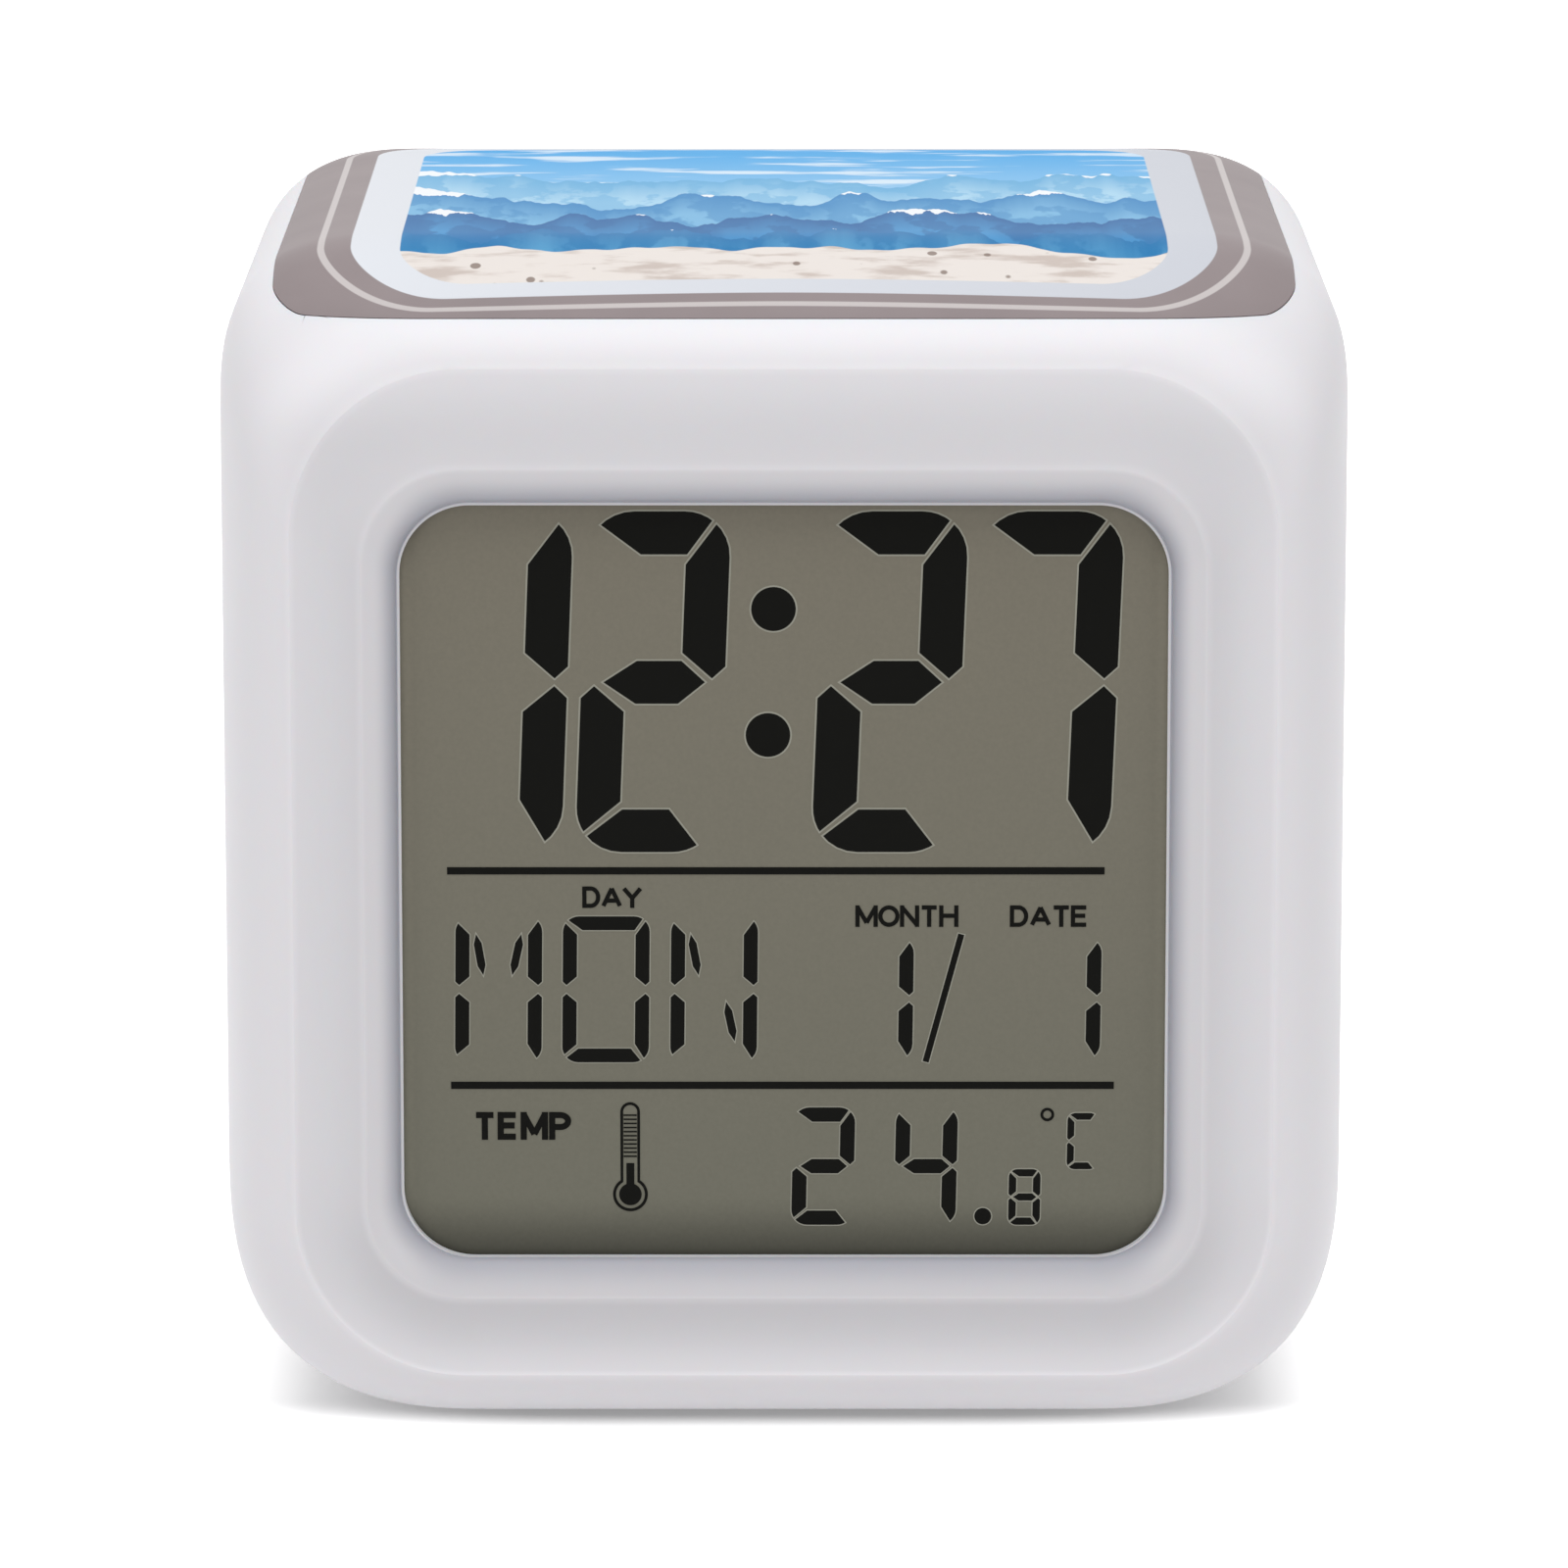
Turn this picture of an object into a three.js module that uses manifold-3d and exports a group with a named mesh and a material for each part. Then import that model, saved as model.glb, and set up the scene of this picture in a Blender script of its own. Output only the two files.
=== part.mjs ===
// Digital alarm clock in a rounded translucent cube. Units are millimetres.
// +Z is up, the display faces -Y, and the origin is on the table under the middle of the clock.

import * as THREE from "three";
import { mergeVertices } from "three/addons/utils/BufferGeometryUtils.js";
import Module from "manifold-3d";

const wasm = await Module();
wasm.setup();

// Cube
const WIDTH = 80;
const DEPTH = 74;
const HEIGHT = 85;
const LIFT = 1.5; // the cube stands this far above the table on its press plate
const WALL = 2;
const TOP_CORNER = 12.2;
const BOTTOM_CORNER = 18.8;
const CORNER_POWER = 2.7; // 2 is a round corner, more is squarer
const FRONT_ROUND = 12; // depth of the front edge's rounding
const BACK_ROUND = 20;

// Bezel, as insets from the cube's sides, top and bottom
const RIDGE_SIDE = 5.4;
const RIDGE_TOP = 7.9;
const RIDGE_BOTTOM = 4.7;
const RIDGE_CORNER = 12;
const DISH_DEPTH = 0.75;
const INNER_RIDGE_SINK = 0.3;
const BEVEL_WIDTH = 2.7; // rounding from the inner ridge down to the window
const WINDOW_HEIGHT = 54;
const WINDOW_SIDE = 13; // window's side inside the cube's side
const WINDOW_CORNER = 4.2;
const WINDOW_DROP = 2.3; // window centre below the cube's centre
const WINDOW_SINK = 1.6;
const LIP = 0.7; // thickness of the bezel at the window's edge

// Back opening and its panel
const RIM = 1;
const LEDGE = 2;
const REAR_CORNER = 9;
const PANEL_THICK = 2.6;
const LEDGE_THICK = 1.6;
const STRIP_WIDTH = 62;
const STRIP_HEIGHT = 9.6;
const STRIP_SINK = 1.1;
const STRIP_SIDE = 2.5; // opening's side beyond the strip's end
const TRAY_SIDE = 7.75; // opening's side beyond the battery tray's wall
const PANEL_HEAD = 9.1; // opening's top above the strip
const PANEL_MIDDLE = 3.45; // strip above the battery door
const PANEL_FOOT = 3.35; // battery door above the opening's bottom
const SOUND_HOLE = 0.8;
const SOUND_HOLES = 5;
const SOUND_PITCH = 3.2;

// Printed film on the top
const FILM_SIDE = 4.5; // inside the cube's side
const FILM_FRONT_DROP = 4.5; // front edge below the top
const FILM_BACK = 7; // back edge in front of the back plane
const FILM_FRONT_CORNER = 3;
const FILM_BACK_CORNER = 4;
const FILM_THICK = 0.3;

// Display stack
const CELL_MARGIN = 2.3; // glass beyond the window on each side
const CELL_THICK = 2.2;
const DIFFUSER_THICK = 3;
const HOLDER_WALL = 1.6;
const ZEBRA_LENGTH = 50;
const ZEBRA_WIDTH = 2.4;
const BOARD_THICK = 1.6;
const BOARD_SIDE_GAP = 2; // between the main board and the cube's inner side
const BOARD_HEIGHT = 57;
const POST_RADIUS = 2.1;
const POST_SPREAD = 20; // board posts above and below the window's centre

// Screws
const SCREW_RADIUS = 1.2;
const SCREW_HEAD = 2.2;
const SCREW_HEAD_THICK = 1.3;
const PANEL_SCREW_LENGTH = 9;
const SMALL_SCREW_RADIUS = 0.9;
const SMALL_SCREW_HEAD = 1.7;
const SMALL_SCREW_HEAD_THICK = 1;
const SMALL_SCREW_LENGTH = 5;
const BOSS_RADIUS = 2.6;
const BOSS_LENGTH = 12;
const SCREW_WEB = 0.7; // panel left between a screw's recess and the panel's corner

// Back buttons and the light switch
const BUTTON_RADIUS = 3;
const BUTTON_TRAVEL = 0.6;
const BUTTON_PITCH = 11;
const BUTTON_FIRST_X = -21.5;
const FLANGE_OUT = 1;
const FLANGE_THICK = 0.8;
const STEM_RADIUS = 1.5;
const STEM_LENGTH = 1.2;
const TACT_SIZE = 6;
const TACT_BODY = 3.4;
const TACT_ACTUATOR = 0.9;
const TACT_ACTUATOR_RADIUS = 1.7;
const SMALL_BOARD_THICK = 1.2;
const SMALL_BOARD_WIDTH = 61;
const SWITCH_X = 21;
const SWITCH_TRAVEL = 2;
const KNOB_WIDTH = 3;
const KNOB_HEIGHT = 3;
const SWITCH_BODY = [9, 4, 5];

// Battery compartment, door and cells
const CELLS = 4;
const CELL_RADIUS = 5.25;
const CELL_LENGTH = 43.5;
const CELL_NUB_RADIUS = 1.9;
const CELL_NUB = 1;
const SPRING_SPACE = 2.8;
const CONTACT_THICK = 0.4;
const TRAY_WALL = 1.4;
const DOOR_THICK = 1.6;
const DOOR_LEDGE = 1;
const DOOR_CORNER = 2;
const TAB_WIDTH = 7;
const TAB_X = 15;
const TAB_REACH = 1.2;
const LATCH_WIDTH = 10;
const LATCH_REACH = 1.4;

// Press plate under the cube
const PAD_SIDE = 17; // inside the cube's side
const PAD_DEPTH = 40;
const PAD_CORNER = 6;
const PAD_Y = -2.5; // the cube's flat underside is nearer the front
const GRIP_THICK = 0.8;
const PLATE_CLEARANCE = 0.5;
const PLATE_FLANGE = 1.2;
const PLATE_FLANGE_THICK = 1.2;
const PRESS_TRAVEL = 1;
const BASE_SPRING_RADIUS = 2.5;
const BASE_SPRING_LENGTH = 5;
const BASE_SPRING_TURNS = 3.5;
const BASE_SPRING_X = 16;
const BASE_SPRING_Y = 13;
const SPRING_WIRE = 0.35;
const CARRIER_THICK = 1.8;
const CARRIER_POST_Y = 12; // in front of and behind the pad's middle
const CARRIER_POST_RADIUS = 2.3;

// Parts on the main board
const LED_RADIUS = 2.5;
const LED_LENGTH = 8.6;
const LED_SPREAD = 22;
const BUZZER_RADIUS = 6;
const BUZZER_HEIGHT = 7;
const BUZZER_HOLE = 1.2;
const BUZZER_HOLE_DEPTH = 1;
const CHIP_RADIUS = 7;
const CHIP_HEIGHT = 1.8;
const CRYSTAL_RADIUS = 1;
const CRYSTAL_LENGTH = 6;
const CRYSTAL_X = 11;
const THERMISTOR_RADIUS = 1.3;
const THERMISTOR_LENGTH = 4;
const THERMISTOR_X = -11;
const LEAD_RADIUS = 0.65;
const LEAD_SPREAD = 3; // from the middle where it leaves the board
const LEAD_SAG = 3;
const LEAD_END = 6; // from the middle where it enters the tray
const LEAD_STUB = 5; // straight part at each end
const LEAD_RISE = 4; // above the board's lower edge
const RIBBON_WIDTH = 10;
const RIBBON_THICK = 0.6;
const RIBBON_SAG = 7;
const RIBBON_X = 13;

// Clearance and fineness
const GAP = 0.3;
const OVERCUT = 2;
const CORNER_STEPS = 6;
const ROUND_STEPS = 6;
const INNER_BACK_STEPS = 5; // of ROUND_STEPS, up to the ledge behind the back panel
const DISH_STEPS = 6;
const TURN_STEPS = 14;
const CURVE_STEPS = 4;
const FILM_ROWS = 16;
const FILM_COLUMNS = 14;

const FRONT = -DEPTH / 2;
const BACK = DEPTH / 2;
const CENTRE = LIFT + HEIGHT / 2;
const WINDOW_CENTRE = CENTRE - WINDOW_DROP;

// Geometry helpers

// Joins equal corners, drops triangles without area and turns the faces outwards.
function closed(geometry) {
  const bare = geometry.clone();
  bare.deleteAttribute("normal");
  bare.deleteAttribute("uv");
  const joined = mergeVertices(bare);
  const position = joined.attributes.position;
  const source = joined.index.array;
  const corner = [0, 1, 2].map(() => new THREE.Vector3());
  const index = [];
  let volume = 0;
  for (let i = 0; i < source.length; i += 3) {
    const [a, b, c] = [source[i], source[i + 1], source[i + 2]];
    if (a === b || b === c || c === a) continue;
    index.push(a, b, c);
    [a, b, c].forEach((vertex, k) => corner[k].fromBufferAttribute(position, vertex));
    volume += corner[0].dot(corner[1].cross(corner[2]));
  }
  if (volume < 0) index.reverse();
  joined.setIndex(index);
  return joined;
}

function solid(geometry) {
  const shape = closed(geometry);
  const vertProperties = new Float32Array(shape.attributes.position.array);
  const triVerts = new Uint32Array(shape.index.array);
  return new wasm.Manifold(new wasm.Mesh({ numProp: 3, vertProperties, triVerts }));
}

function surface(body) {
  const mesh = body.getMesh();
  const geometry = new THREE.BufferGeometry();
  geometry.setAttribute("position", new THREE.BufferAttribute(mesh.vertProperties, mesh.numProp));
  geometry.setIndex(new THREE.BufferAttribute(mesh.triVerts, 1));
  return geometry;
}

// Adds and then cuts a list of geometries.
function shaped(base, added, cut) {
  let body = solid(base);
  for (const extra of added) body = body.add(solid(extra));
  for (const tool of cut) body = body.subtract(solid(tool));
  return surface(body);
}

function box(width, depth, height, x, y, z) {
  return new THREE.BoxGeometry(width, depth, height).translate(x, y, z);
}

// Round piece about an axis along Y, from a profile of [radius, y] points.
function turned(profile, x, z, steps = TURN_STEPS) {
  const points = profile.map(([radius, y]) => new THREE.Vector2(radius, y));
  return new THREE.LatheGeometry(points, steps).translate(x, 0, z);
}

// Round piece about an axis along Z, from a profile of [radius, z] points.
function upright(profile, x, y, steps = TURN_STEPS) {
  const points = profile.map(([radius, z]) => new THREE.Vector2(radius, z));
  return new THREE.LatheGeometry(points, steps).rotateX(Math.PI / 2).translate(x, y, 0);
}

function rod(radius, y0, y1, x, z, steps = TURN_STEPS) {
  return turned([[0, y0], [radius, y0], [radius, y1], [0, y1]], x, z, steps);
}

function roundedShape(width, height, radius, x = 0, y = 0) {
  const [w, h] = [width / 2 - radius, height / 2 - radius];
  const shape = new THREE.Shape();
  shape.absarc(x + w, y + h, radius, 0, Math.PI / 2);
  shape.absarc(x - w, y + h, radius, Math.PI / 2, Math.PI);
  shape.absarc(x - w, y - h, radius, Math.PI, 1.5 * Math.PI);
  shape.absarc(x + w, y - h, radius, 1.5 * Math.PI, 2 * Math.PI);
  return shape;
}

// A shape drawn in X and Z, given its thickness from yFront towards the back.
function slab(shape, yFront, thickness) {
  const options = { depth: thickness, bevelEnabled: false, curveSegments: CURVE_STEPS };
  const geometry = new THREE.ExtrudeGeometry(shape, options);
  return geometry.rotateX(Math.PI / 2).translate(0, yFront + thickness, 0);
}

// A shape drawn in X and Y, given its thickness from zBottom upwards.
function layer(shape, zBottom, thickness) {
  const options = { depth: thickness, bevelEnabled: false, curveSegments: CURVE_STEPS };
  return new THREE.ExtrudeGeometry(shape, options).translate(0, 0, zBottom);
}

// A ring is a rounded square across the cube: half width, top and bottom heights,
// corner radii, and the power of its corner curve.
function shrink(ring, by) {
  return {
    half: ring.half - by,
    top: ring.top - by,
    bottom: ring.bottom + by,
    topCorner: Math.max(ring.topCorner - by, by / 2),
    bottomCorner: Math.max(ring.bottomCorner - by, by / 2),
    power: ring.power,
  };
}

function blend(a, b, t) {
  const mixed = {};
  for (const key of Object.keys(a)) mixed[key] = a[key] + (b[key] - a[key]) * t;
  return mixed;
}

function ringPoints(ring, y) {
  const points = [];
  for (let quadrant = 0; quadrant < 4; quadrant += 1) {
    const sideX = quadrant === 0 || quadrant === 3 ? 1 : -1;
    const upper = quadrant < 2;
    const radius = upper ? ring.topCorner : ring.bottomCorner;
    for (let step = 0; step <= CORNER_STEPS; step += 1) {
      const angle = ((quadrant + step / CORNER_STEPS) * Math.PI) / 2;
      const across = radius * Math.abs(Math.cos(angle)) ** (2 / ring.power);
      const along = radius * Math.abs(Math.sin(angle)) ** (2 / ring.power);
      const x = sideX * (ring.half - radius + across);
      const z = upper ? ring.top - radius + along : ring.bottom + radius - along;
      points.push(new THREE.Vector3(x, y, z));
    }
  }
  return points;
}

// Skins a list of [ring, y] stations into a closed loop, like a bent pipe's wall.
function loopSkin(stations) {
  const loops = stations.map(([ring, y]) => ringPoints(ring, y));
  const count = loops[0].length;
  const index = [];
  loops.forEach((loop, row) => {
    const next = ((row + 1) % loops.length) * count;
    for (let i = 0; i < count; i += 1) {
      const [a, b] = [row * count + i, row * count + ((i + 1) % count)];
      const [c, d] = [next + i, next + ((i + 1) % count)];
      index.push(a, c, b, b, c, d);
    }
  });
  const geometry = new THREE.BufferGeometry().setFromPoints(loops.flat());
  geometry.setIndex(index);
  return geometry;
}

// Rings of the cube

const body = {
  half: WIDTH / 2,
  top: CENTRE + HEIGHT / 2,
  bottom: CENTRE - HEIGHT / 2,
  topCorner: TOP_CORNER,
  bottomCorner: BOTTOM_CORNER,
  power: CORNER_POWER,
};
const outerRidge = {
  half: body.half - RIDGE_SIDE,
  top: body.top - RIDGE_TOP,
  bottom: body.bottom + RIDGE_BOTTOM,
  topCorner: RIDGE_CORNER,
  bottomCorner: RIDGE_CORNER,
  power: 2,
};
const window = {
  half: body.half - WINDOW_SIDE,
  top: WINDOW_CENTRE + WINDOW_HEIGHT / 2,
  bottom: WINDOW_CENTRE - WINDOW_HEIGHT / 2,
  topCorner: WINDOW_CORNER,
  bottomCorner: WINDOW_CORNER,
  power: 2,
};
const innerRidge = shrink(window, -BEVEL_WIDTH);
const cellPitch = 2 * CELL_RADIUS + GAP;
const trayWidth = CELL_LENGTH + CELL_NUB + SPRING_SPACE + 2 * CONTACT_THICK + 2 * GAP;
const trayHeight = CELLS * cellPitch + GAP;
const doorWidth = trayWidth + 2 * DOOR_LEDGE;
const doorHeight = trayHeight + 2 * DOOR_LEDGE;
const openingHalf = Math.max(STRIP_WIDTH / 2 + STRIP_SIDE, trayWidth / 2 + TRAY_WALL + TRAY_SIDE);
const openingHeight = PANEL_FOOT + doorHeight + PANEL_MIDDLE + STRIP_HEIGHT + PANEL_HEAD;
const rearRing = {
  half: openingHalf + RIM,
  top: CENTRE + openingHeight / 2 + RIM,
  bottom: CENTRE - openingHeight / 2 - RIM,
  topCorner: REAR_CORNER,
  bottomCorner: REAR_CORNER,
  power: 2,
};
const opening = shrink(rearRing, RIM);
const ledge = shrink(opening, LEDGE);
const cavity = shrink(body, WALL);
const seatY = FRONT + WINDOW_SINK + LIP; // back face of the bezel
const panelY = BACK - PANEL_THICK; // inner face of the back panel
const ledgeY = panelY - GAP;

// Stations of a quarter ellipse from one ring at y0 to another at y1, flat at the second.
function roundedEdge(from, to, y0, y1) {
  const stations = [];
  for (let step = 0; step <= ROUND_STEPS; step += 1) {
    const angle = ((step / ROUND_STEPS) * Math.PI) / 2;
    stations.push([blend(from, to, 1 - Math.cos(angle)), y0 + (y1 - y0) * Math.sin(angle)]);
  }
  return stations;
}

function bezelFace() {
  const stations = roundedEdge(window, innerRidge, FRONT + WINDOW_SINK, FRONT + INNER_RIDGE_SINK);
  for (let step = 1; step < DISH_STEPS; step += 1) {
    const t = step / DISH_STEPS;
    const sink = INNER_RIDGE_SINK * (1 - t) + DISH_DEPTH * Math.sin(Math.PI * t);
    stations.push([blend(innerRidge, outerRidge, t), FRONT + sink]);
  }
  return stations;
}

function housingSkin() {
  const innerBack = roundedEdge(body, rearRing, BACK - BACK_ROUND, BACK)
    .slice(0, INNER_BACK_STEPS)
    .map(([ring, y]) => [shrink(ring, WALL), y]);
  return loopSkin([
    ...bezelFace(),
    ...roundedEdge(body, outerRidge, FRONT + FRONT_ROUND, FRONT).reverse(),
    ...roundedEdge(body, rearRing, BACK - BACK_ROUND, BACK),
    [opening, BACK],
    [opening, ledgeY],
    [ledge, ledgeY],
    [ledge, ledgeY - LEDGE_THICK],
    ...innerBack.reverse(),
    ...roundedEdge(cavity, shrink(outerRidge, WALL), FRONT + FRONT_ROUND, seatY),
    [window, seatY],
  ]);
}

// Height of the cube's outer top surface at a place.
function roof(x, y) {
  let ring = body;
  const intoFront = 1 - (y - FRONT) / FRONT_ROUND;
  const intoBack = 1 - (BACK - y) / BACK_ROUND;
  if (intoFront > 0) ring = blend(body, outerRidge, 1 - Math.sqrt(1 - intoFront ** 2));
  if (intoBack > 0) ring = blend(body, rearRing, 1 - Math.sqrt(1 - intoBack ** 2));
  const reach = (Math.abs(x) - ring.half + ring.topCorner) / ring.topCorner;
  const fall = reach > 0 ? 1 - (1 - reach ** ring.power) ** (1 / ring.power) : 0;
  return ring.top - ring.topCorner * fall;
}

// A point at some height over the roof, measured square to it.
function overRoof(x, y, height) {
  const step = 0.05;
  const slopeX = (roof(x + step, y) - roof(x - step, y)) / (2 * step);
  const slopeY = (roof(x, y + step) - roof(x, y - step)) / (2 * step);
  const normal = new THREE.Vector3(-slopeX, -slopeY, 1).normalize();
  return new THREE.Vector3(x, y, roof(x, y)).addScaledVector(normal, height);
}

// How far back the roof reaches a height, found by halving the front edge's rounding.
function roofEdge(x, z) {
  let [low, high] = [FRONT, FRONT + FRONT_ROUND];
  for (let i = 0; i < 30; i += 1) {
    const middle = (low + high) / 2;
    if (roof(x, middle) < z) low = middle;
    else high = middle;
  }
  return high;
}

// A curved sheet on the roof between two heights. Its front edge is level.
function roofSheet(grow, low, high) {
  const [rows, columns] = [FILM_ROWS, FILM_COLUMNS];
  const frontZ = body.top - FILM_FRONT_DROP - grow;
  const backY = BACK - FILM_BACK + grow;
  const depth = backY - roofEdge(0, frontZ);
  const points = [];
  for (const height of [low, high]) {
    for (let row = 0; row <= rows; row += 1) {
      const t = (1 - Math.cos((Math.PI * row) / rows)) / 2;
      const corner = t < 0.5 ? FILM_FRONT_CORNER : FILM_BACK_CORNER;
      const inset = Math.max(0, corner - depth * Math.min(t, 1 - t));
      const half = body.half - FILM_SIDE + grow - corner + Math.sqrt(corner ** 2 - inset ** 2);
      for (let column = 0; column <= columns; column += 1) {
        const x = half * Math.sin(Math.PI * (column / columns - 0.5));
        const frontY = roofEdge(x, frontZ);
        points.push(overRoof(x, frontY + (backY - frontY) * t, height));
      }
    }
  }
  const stride = columns + 1;
  const upper = (rows + 1) * stride;
  const index = [];
  const quad = (a, b, c, d) => index.push(a, b, c, a, c, d);
  for (let row = 0; row < rows; row += 1) {
    for (let column = 0; column < columns; column += 1) {
      const a = row * stride + column;
      quad(a, a + stride, a + stride + 1, a + 1);
      quad(upper + a, upper + a + 1, upper + a + stride + 1, upper + a + stride);
    }
    const left = row * stride;
    const right = left + columns;
    quad(left, upper + left, upper + left + stride, left + stride);
    quad(right, right + stride, upper + right + stride, upper + right);
  }
  for (let column = 0; column < columns; column += 1) {
    const far = rows * stride + column;
    quad(column, column + 1, upper + column + 1, upper + column);
    quad(far, upper + far, upper + far + 1, far + 1);
  }
  const geometry = new THREE.BufferGeometry().setFromPoints(points);
  geometry.setIndex(index);
  return geometry;
}

// Places shared by several pieces

const cellWidth = 2 * (window.half + CELL_MARGIN);
const cellHeight = WINDOW_HEIGHT + 2 * CELL_MARGIN;
const cellY = seatY + GAP;
const diffuserY = cellY + CELL_THICK + GAP;
const boardY = diffuserY + DIFFUSER_THICK + GAP;
const boardBackY = boardY + BOARD_THICK;
const boardWidth = 2 * (cavity.half - BOARD_SIDE_GAP);
const postX = cellWidth / 2 + HOLDER_WALL + POST_RADIUS + 2 * GAP;
const boardPosts = [[-postX, 1], [postX, 1], [-postX, -1], [postX, -1]];
const screwInset = opening.topCorner - (opening.topCorner - SCREW_HEAD - SCREW_WEB - 2 * GAP) * Math.SQRT1_2;
const screwX = opening.half - screwInset;
const screwHeights = [opening.top - screwInset, opening.bottom + screwInset];
const panelScrews = [-screwX, screwX].flatMap((x) => screwHeights.map((z) => [x, z]));
const stripZ = opening.top - PANEL_HEAD - STRIP_HEIGHT / 2;
const stripY = BACK - STRIP_SINK;
const flangeY = panelY - GAP;
const stemEnd = flangeY - FLANGE_THICK - STEM_LENGTH;
const actuatorTop = stemEnd - BUTTON_TRAVEL - GAP / 3;
const smallBoardY = actuatorTop - TACT_ACTUATOR - TACT_BODY - SMALL_BOARD_THICK;
const smallBoardBack = smallBoardY + SMALL_BOARD_THICK;
const smallPostX = SMALL_BOARD_WIDTH / 2 - POST_RADIUS;
const buttonNames = ["mode_button", "set_button", "up_button", "down_button"];
const buttonPlaces = buttonNames.map((name, i) => BUTTON_FIRST_X + i * BUTTON_PITCH);

const doorZ = opening.bottom + PANEL_FOOT + doorHeight / 2;
const doorY = BACK - DOOR_THICK; // inner face of the door
const trayDepth = 2 * CELL_RADIUS + 2 * GAP;
const trayFloorY = doorY - GAP - trayDepth;

const floorZ = body.bottom + WALL; // inner face of the cube's bottom
const flangeZ = floorZ + GAP;
const flangeTop = flangeZ + PLATE_FLANGE_THICK;
const springZ = flangeTop + GAP;
const carrierZ = springZ + BASE_SPRING_LENGTH + GAP;
const padWidth = 2 * (body.half - PAD_SIDE);
const carrierPostX = padWidth / 2 + 2 * PLATE_CLEARANCE + PLATE_FLANGE + CARRIER_POST_RADIUS;
const carrierPosts = [[-1, -1], [1, 1], [-1, 1], [1, -1]].map(
  ([sideX, sideY]) => [sideX * carrierPostX, PAD_Y + sideY * CARRIER_POST_Y],
);

// The pad's outline, grown on all sides.
function padShape(grow, corner = PAD_CORNER + grow) {
  return roundedShape(padWidth + 2 * grow, PAD_DEPTH + 2 * grow, corner, 0, PAD_Y);
}

// Materials

function plastic(color, roughness) {
  return new THREE.MeshStandardMaterial({ color, roughness, metalness: 0 });
}
function metal(color, roughness) {
  return new THREE.MeshStandardMaterial({ color, roughness, metalness: 1 });
}
const shellWhite = plastic(0xe6e6ea, 0.45);
const buttonWhite = plastic(0xdcdce0, 0.5);
const printedFilm = plastic(0x8fbfdc, 0.35);
const displayGlass = plastic(0x74736a, 0.25);
const diffuserWhite = plastic(0xf2f2f0, 0.6);
const holderBlack = plastic(0x2a2a2c, 0.6);
const boardGreen = plastic(0x1f5a34, 0.55);
const rubberGrey = plastic(0x6c6c70, 0.85);
const elastomer = plastic(0xd98f9a, 0.8);
const ledClear = plastic(0xe8f0f4, 0.15);
const epoxyBlack = plastic(0x17171a, 0.3);
const cellWrap = plastic(0x3b4a57, 0.4);
const leadRed = plastic(0xb03030, 0.5);
const leadBlack = plastic(0x1c1c1e, 0.5);
const ribbonGrey = plastic(0xb8bcc0, 0.5);
const steel = metal(0xb9bcc0, 0.3);
const springSteel = metal(0xc8ccd0, 0.25);

const clock = new THREE.Group();

function piece(name, geometry, material) {
  const mesh = new THREE.Mesh(closed(geometry), material);
  mesh.name = name;
  clock.add(mesh);
  return mesh;
}

// Cube, film and window

function housing() {
  const depthOfPosts = boardY - seatY;
  const posts = boardPosts.map(([x, side]) => {
    const z = WINDOW_CENTRE + side * POST_SPREAD;
    return rod(POST_RADIUS, seatY - LIP / 2, seatY + depthOfPosts, x, z);
  });
  const postHoles = boardPosts.map(([x, side]) => {
    const z = WINDOW_CENTRE + side * POST_SPREAD;
    const hole = SMALL_SCREW_RADIUS + GAP;
    return rod(hole, boardY - SMALL_SCREW_LENGTH + BOARD_THICK, boardY + OVERCUT, x, z);
  });
  const bosses = panelScrews.map(([x, z]) => rod(BOSS_RADIUS, ledgeY - BOSS_LENGTH, ledgeY, x, z));
  const bossHoles = panelScrews.map(([x, z]) => {
    const end = ledgeY - PANEL_SCREW_LENGTH - GAP;
    return rod(SCREW_RADIUS + GAP, end, BACK + OVERCUT, x, z);
  });
  const feet = carrierPosts.map(([x, y]) => {
    const [low, high] = [floorZ, carrierZ];
    return upright([[0, low], [CARRIER_POST_RADIUS, low], [CARRIER_POST_RADIUS, high], [0, high]], x, y);
  });
  const footHoles = carrierPosts.map(([x, y]) => {
    const [low, high] = [carrierZ - SMALL_SCREW_LENGTH + BOARD_THICK, carrierZ + OVERCUT];
    const radius = SMALL_SCREW_RADIUS + GAP;
    return upright([[0, low], [radius, low], [radius, high], [0, high]], x, y);
  });
  const plateCut = layer(padShape(PLATE_CLEARANCE), body.bottom - OVERCUT, WALL + 2 * OVERCUT);
  const filmCut = roofSheet(GAP, -FILM_THICK - GAP, OVERCUT);
  const cuts = [...postHoles, ...bossHoles, ...footHoles, plateCut, filmCut];
  return shaped(housingSkin(), [...posts, ...bosses, ...feet], cuts);
}

piece("housing", housing(), shellWhite);
piece("top_print", roofSheet(0, -FILM_THICK, 0), printedFilm);

// Display stack

const cellShape = roundedShape(cellWidth, cellHeight, WINDOW_CORNER / 2, 0, WINDOW_CENTRE);
piece("lcd_cell", slab(cellShape, cellY, CELL_THICK), displayGlass);

const zebraSpace = ZEBRA_WIDTH + 2 * GAP;
const diffuserHeight = cellHeight - zebraSpace;
const diffuserZ = WINDOW_CENTRE + zebraSpace / 2;
const diffuserShape = roundedShape(cellWidth, diffuserHeight, WINDOW_CORNER / 2, 0, diffuserZ);
piece("light_diffuser", slab(diffuserShape, diffuserY, DIFFUSER_THICK), diffuserWhite);

const zebraZ = WINDOW_CENTRE - cellHeight / 2 + ZEBRA_WIDTH / 2 + GAP;
piece(
  "zebra_strip",
  box(ZEBRA_LENGTH, DIFFUSER_THICK, ZEBRA_WIDTH, 0, diffuserY + DIFFUSER_THICK / 2, zebraZ),
  elastomer,
);

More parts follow.
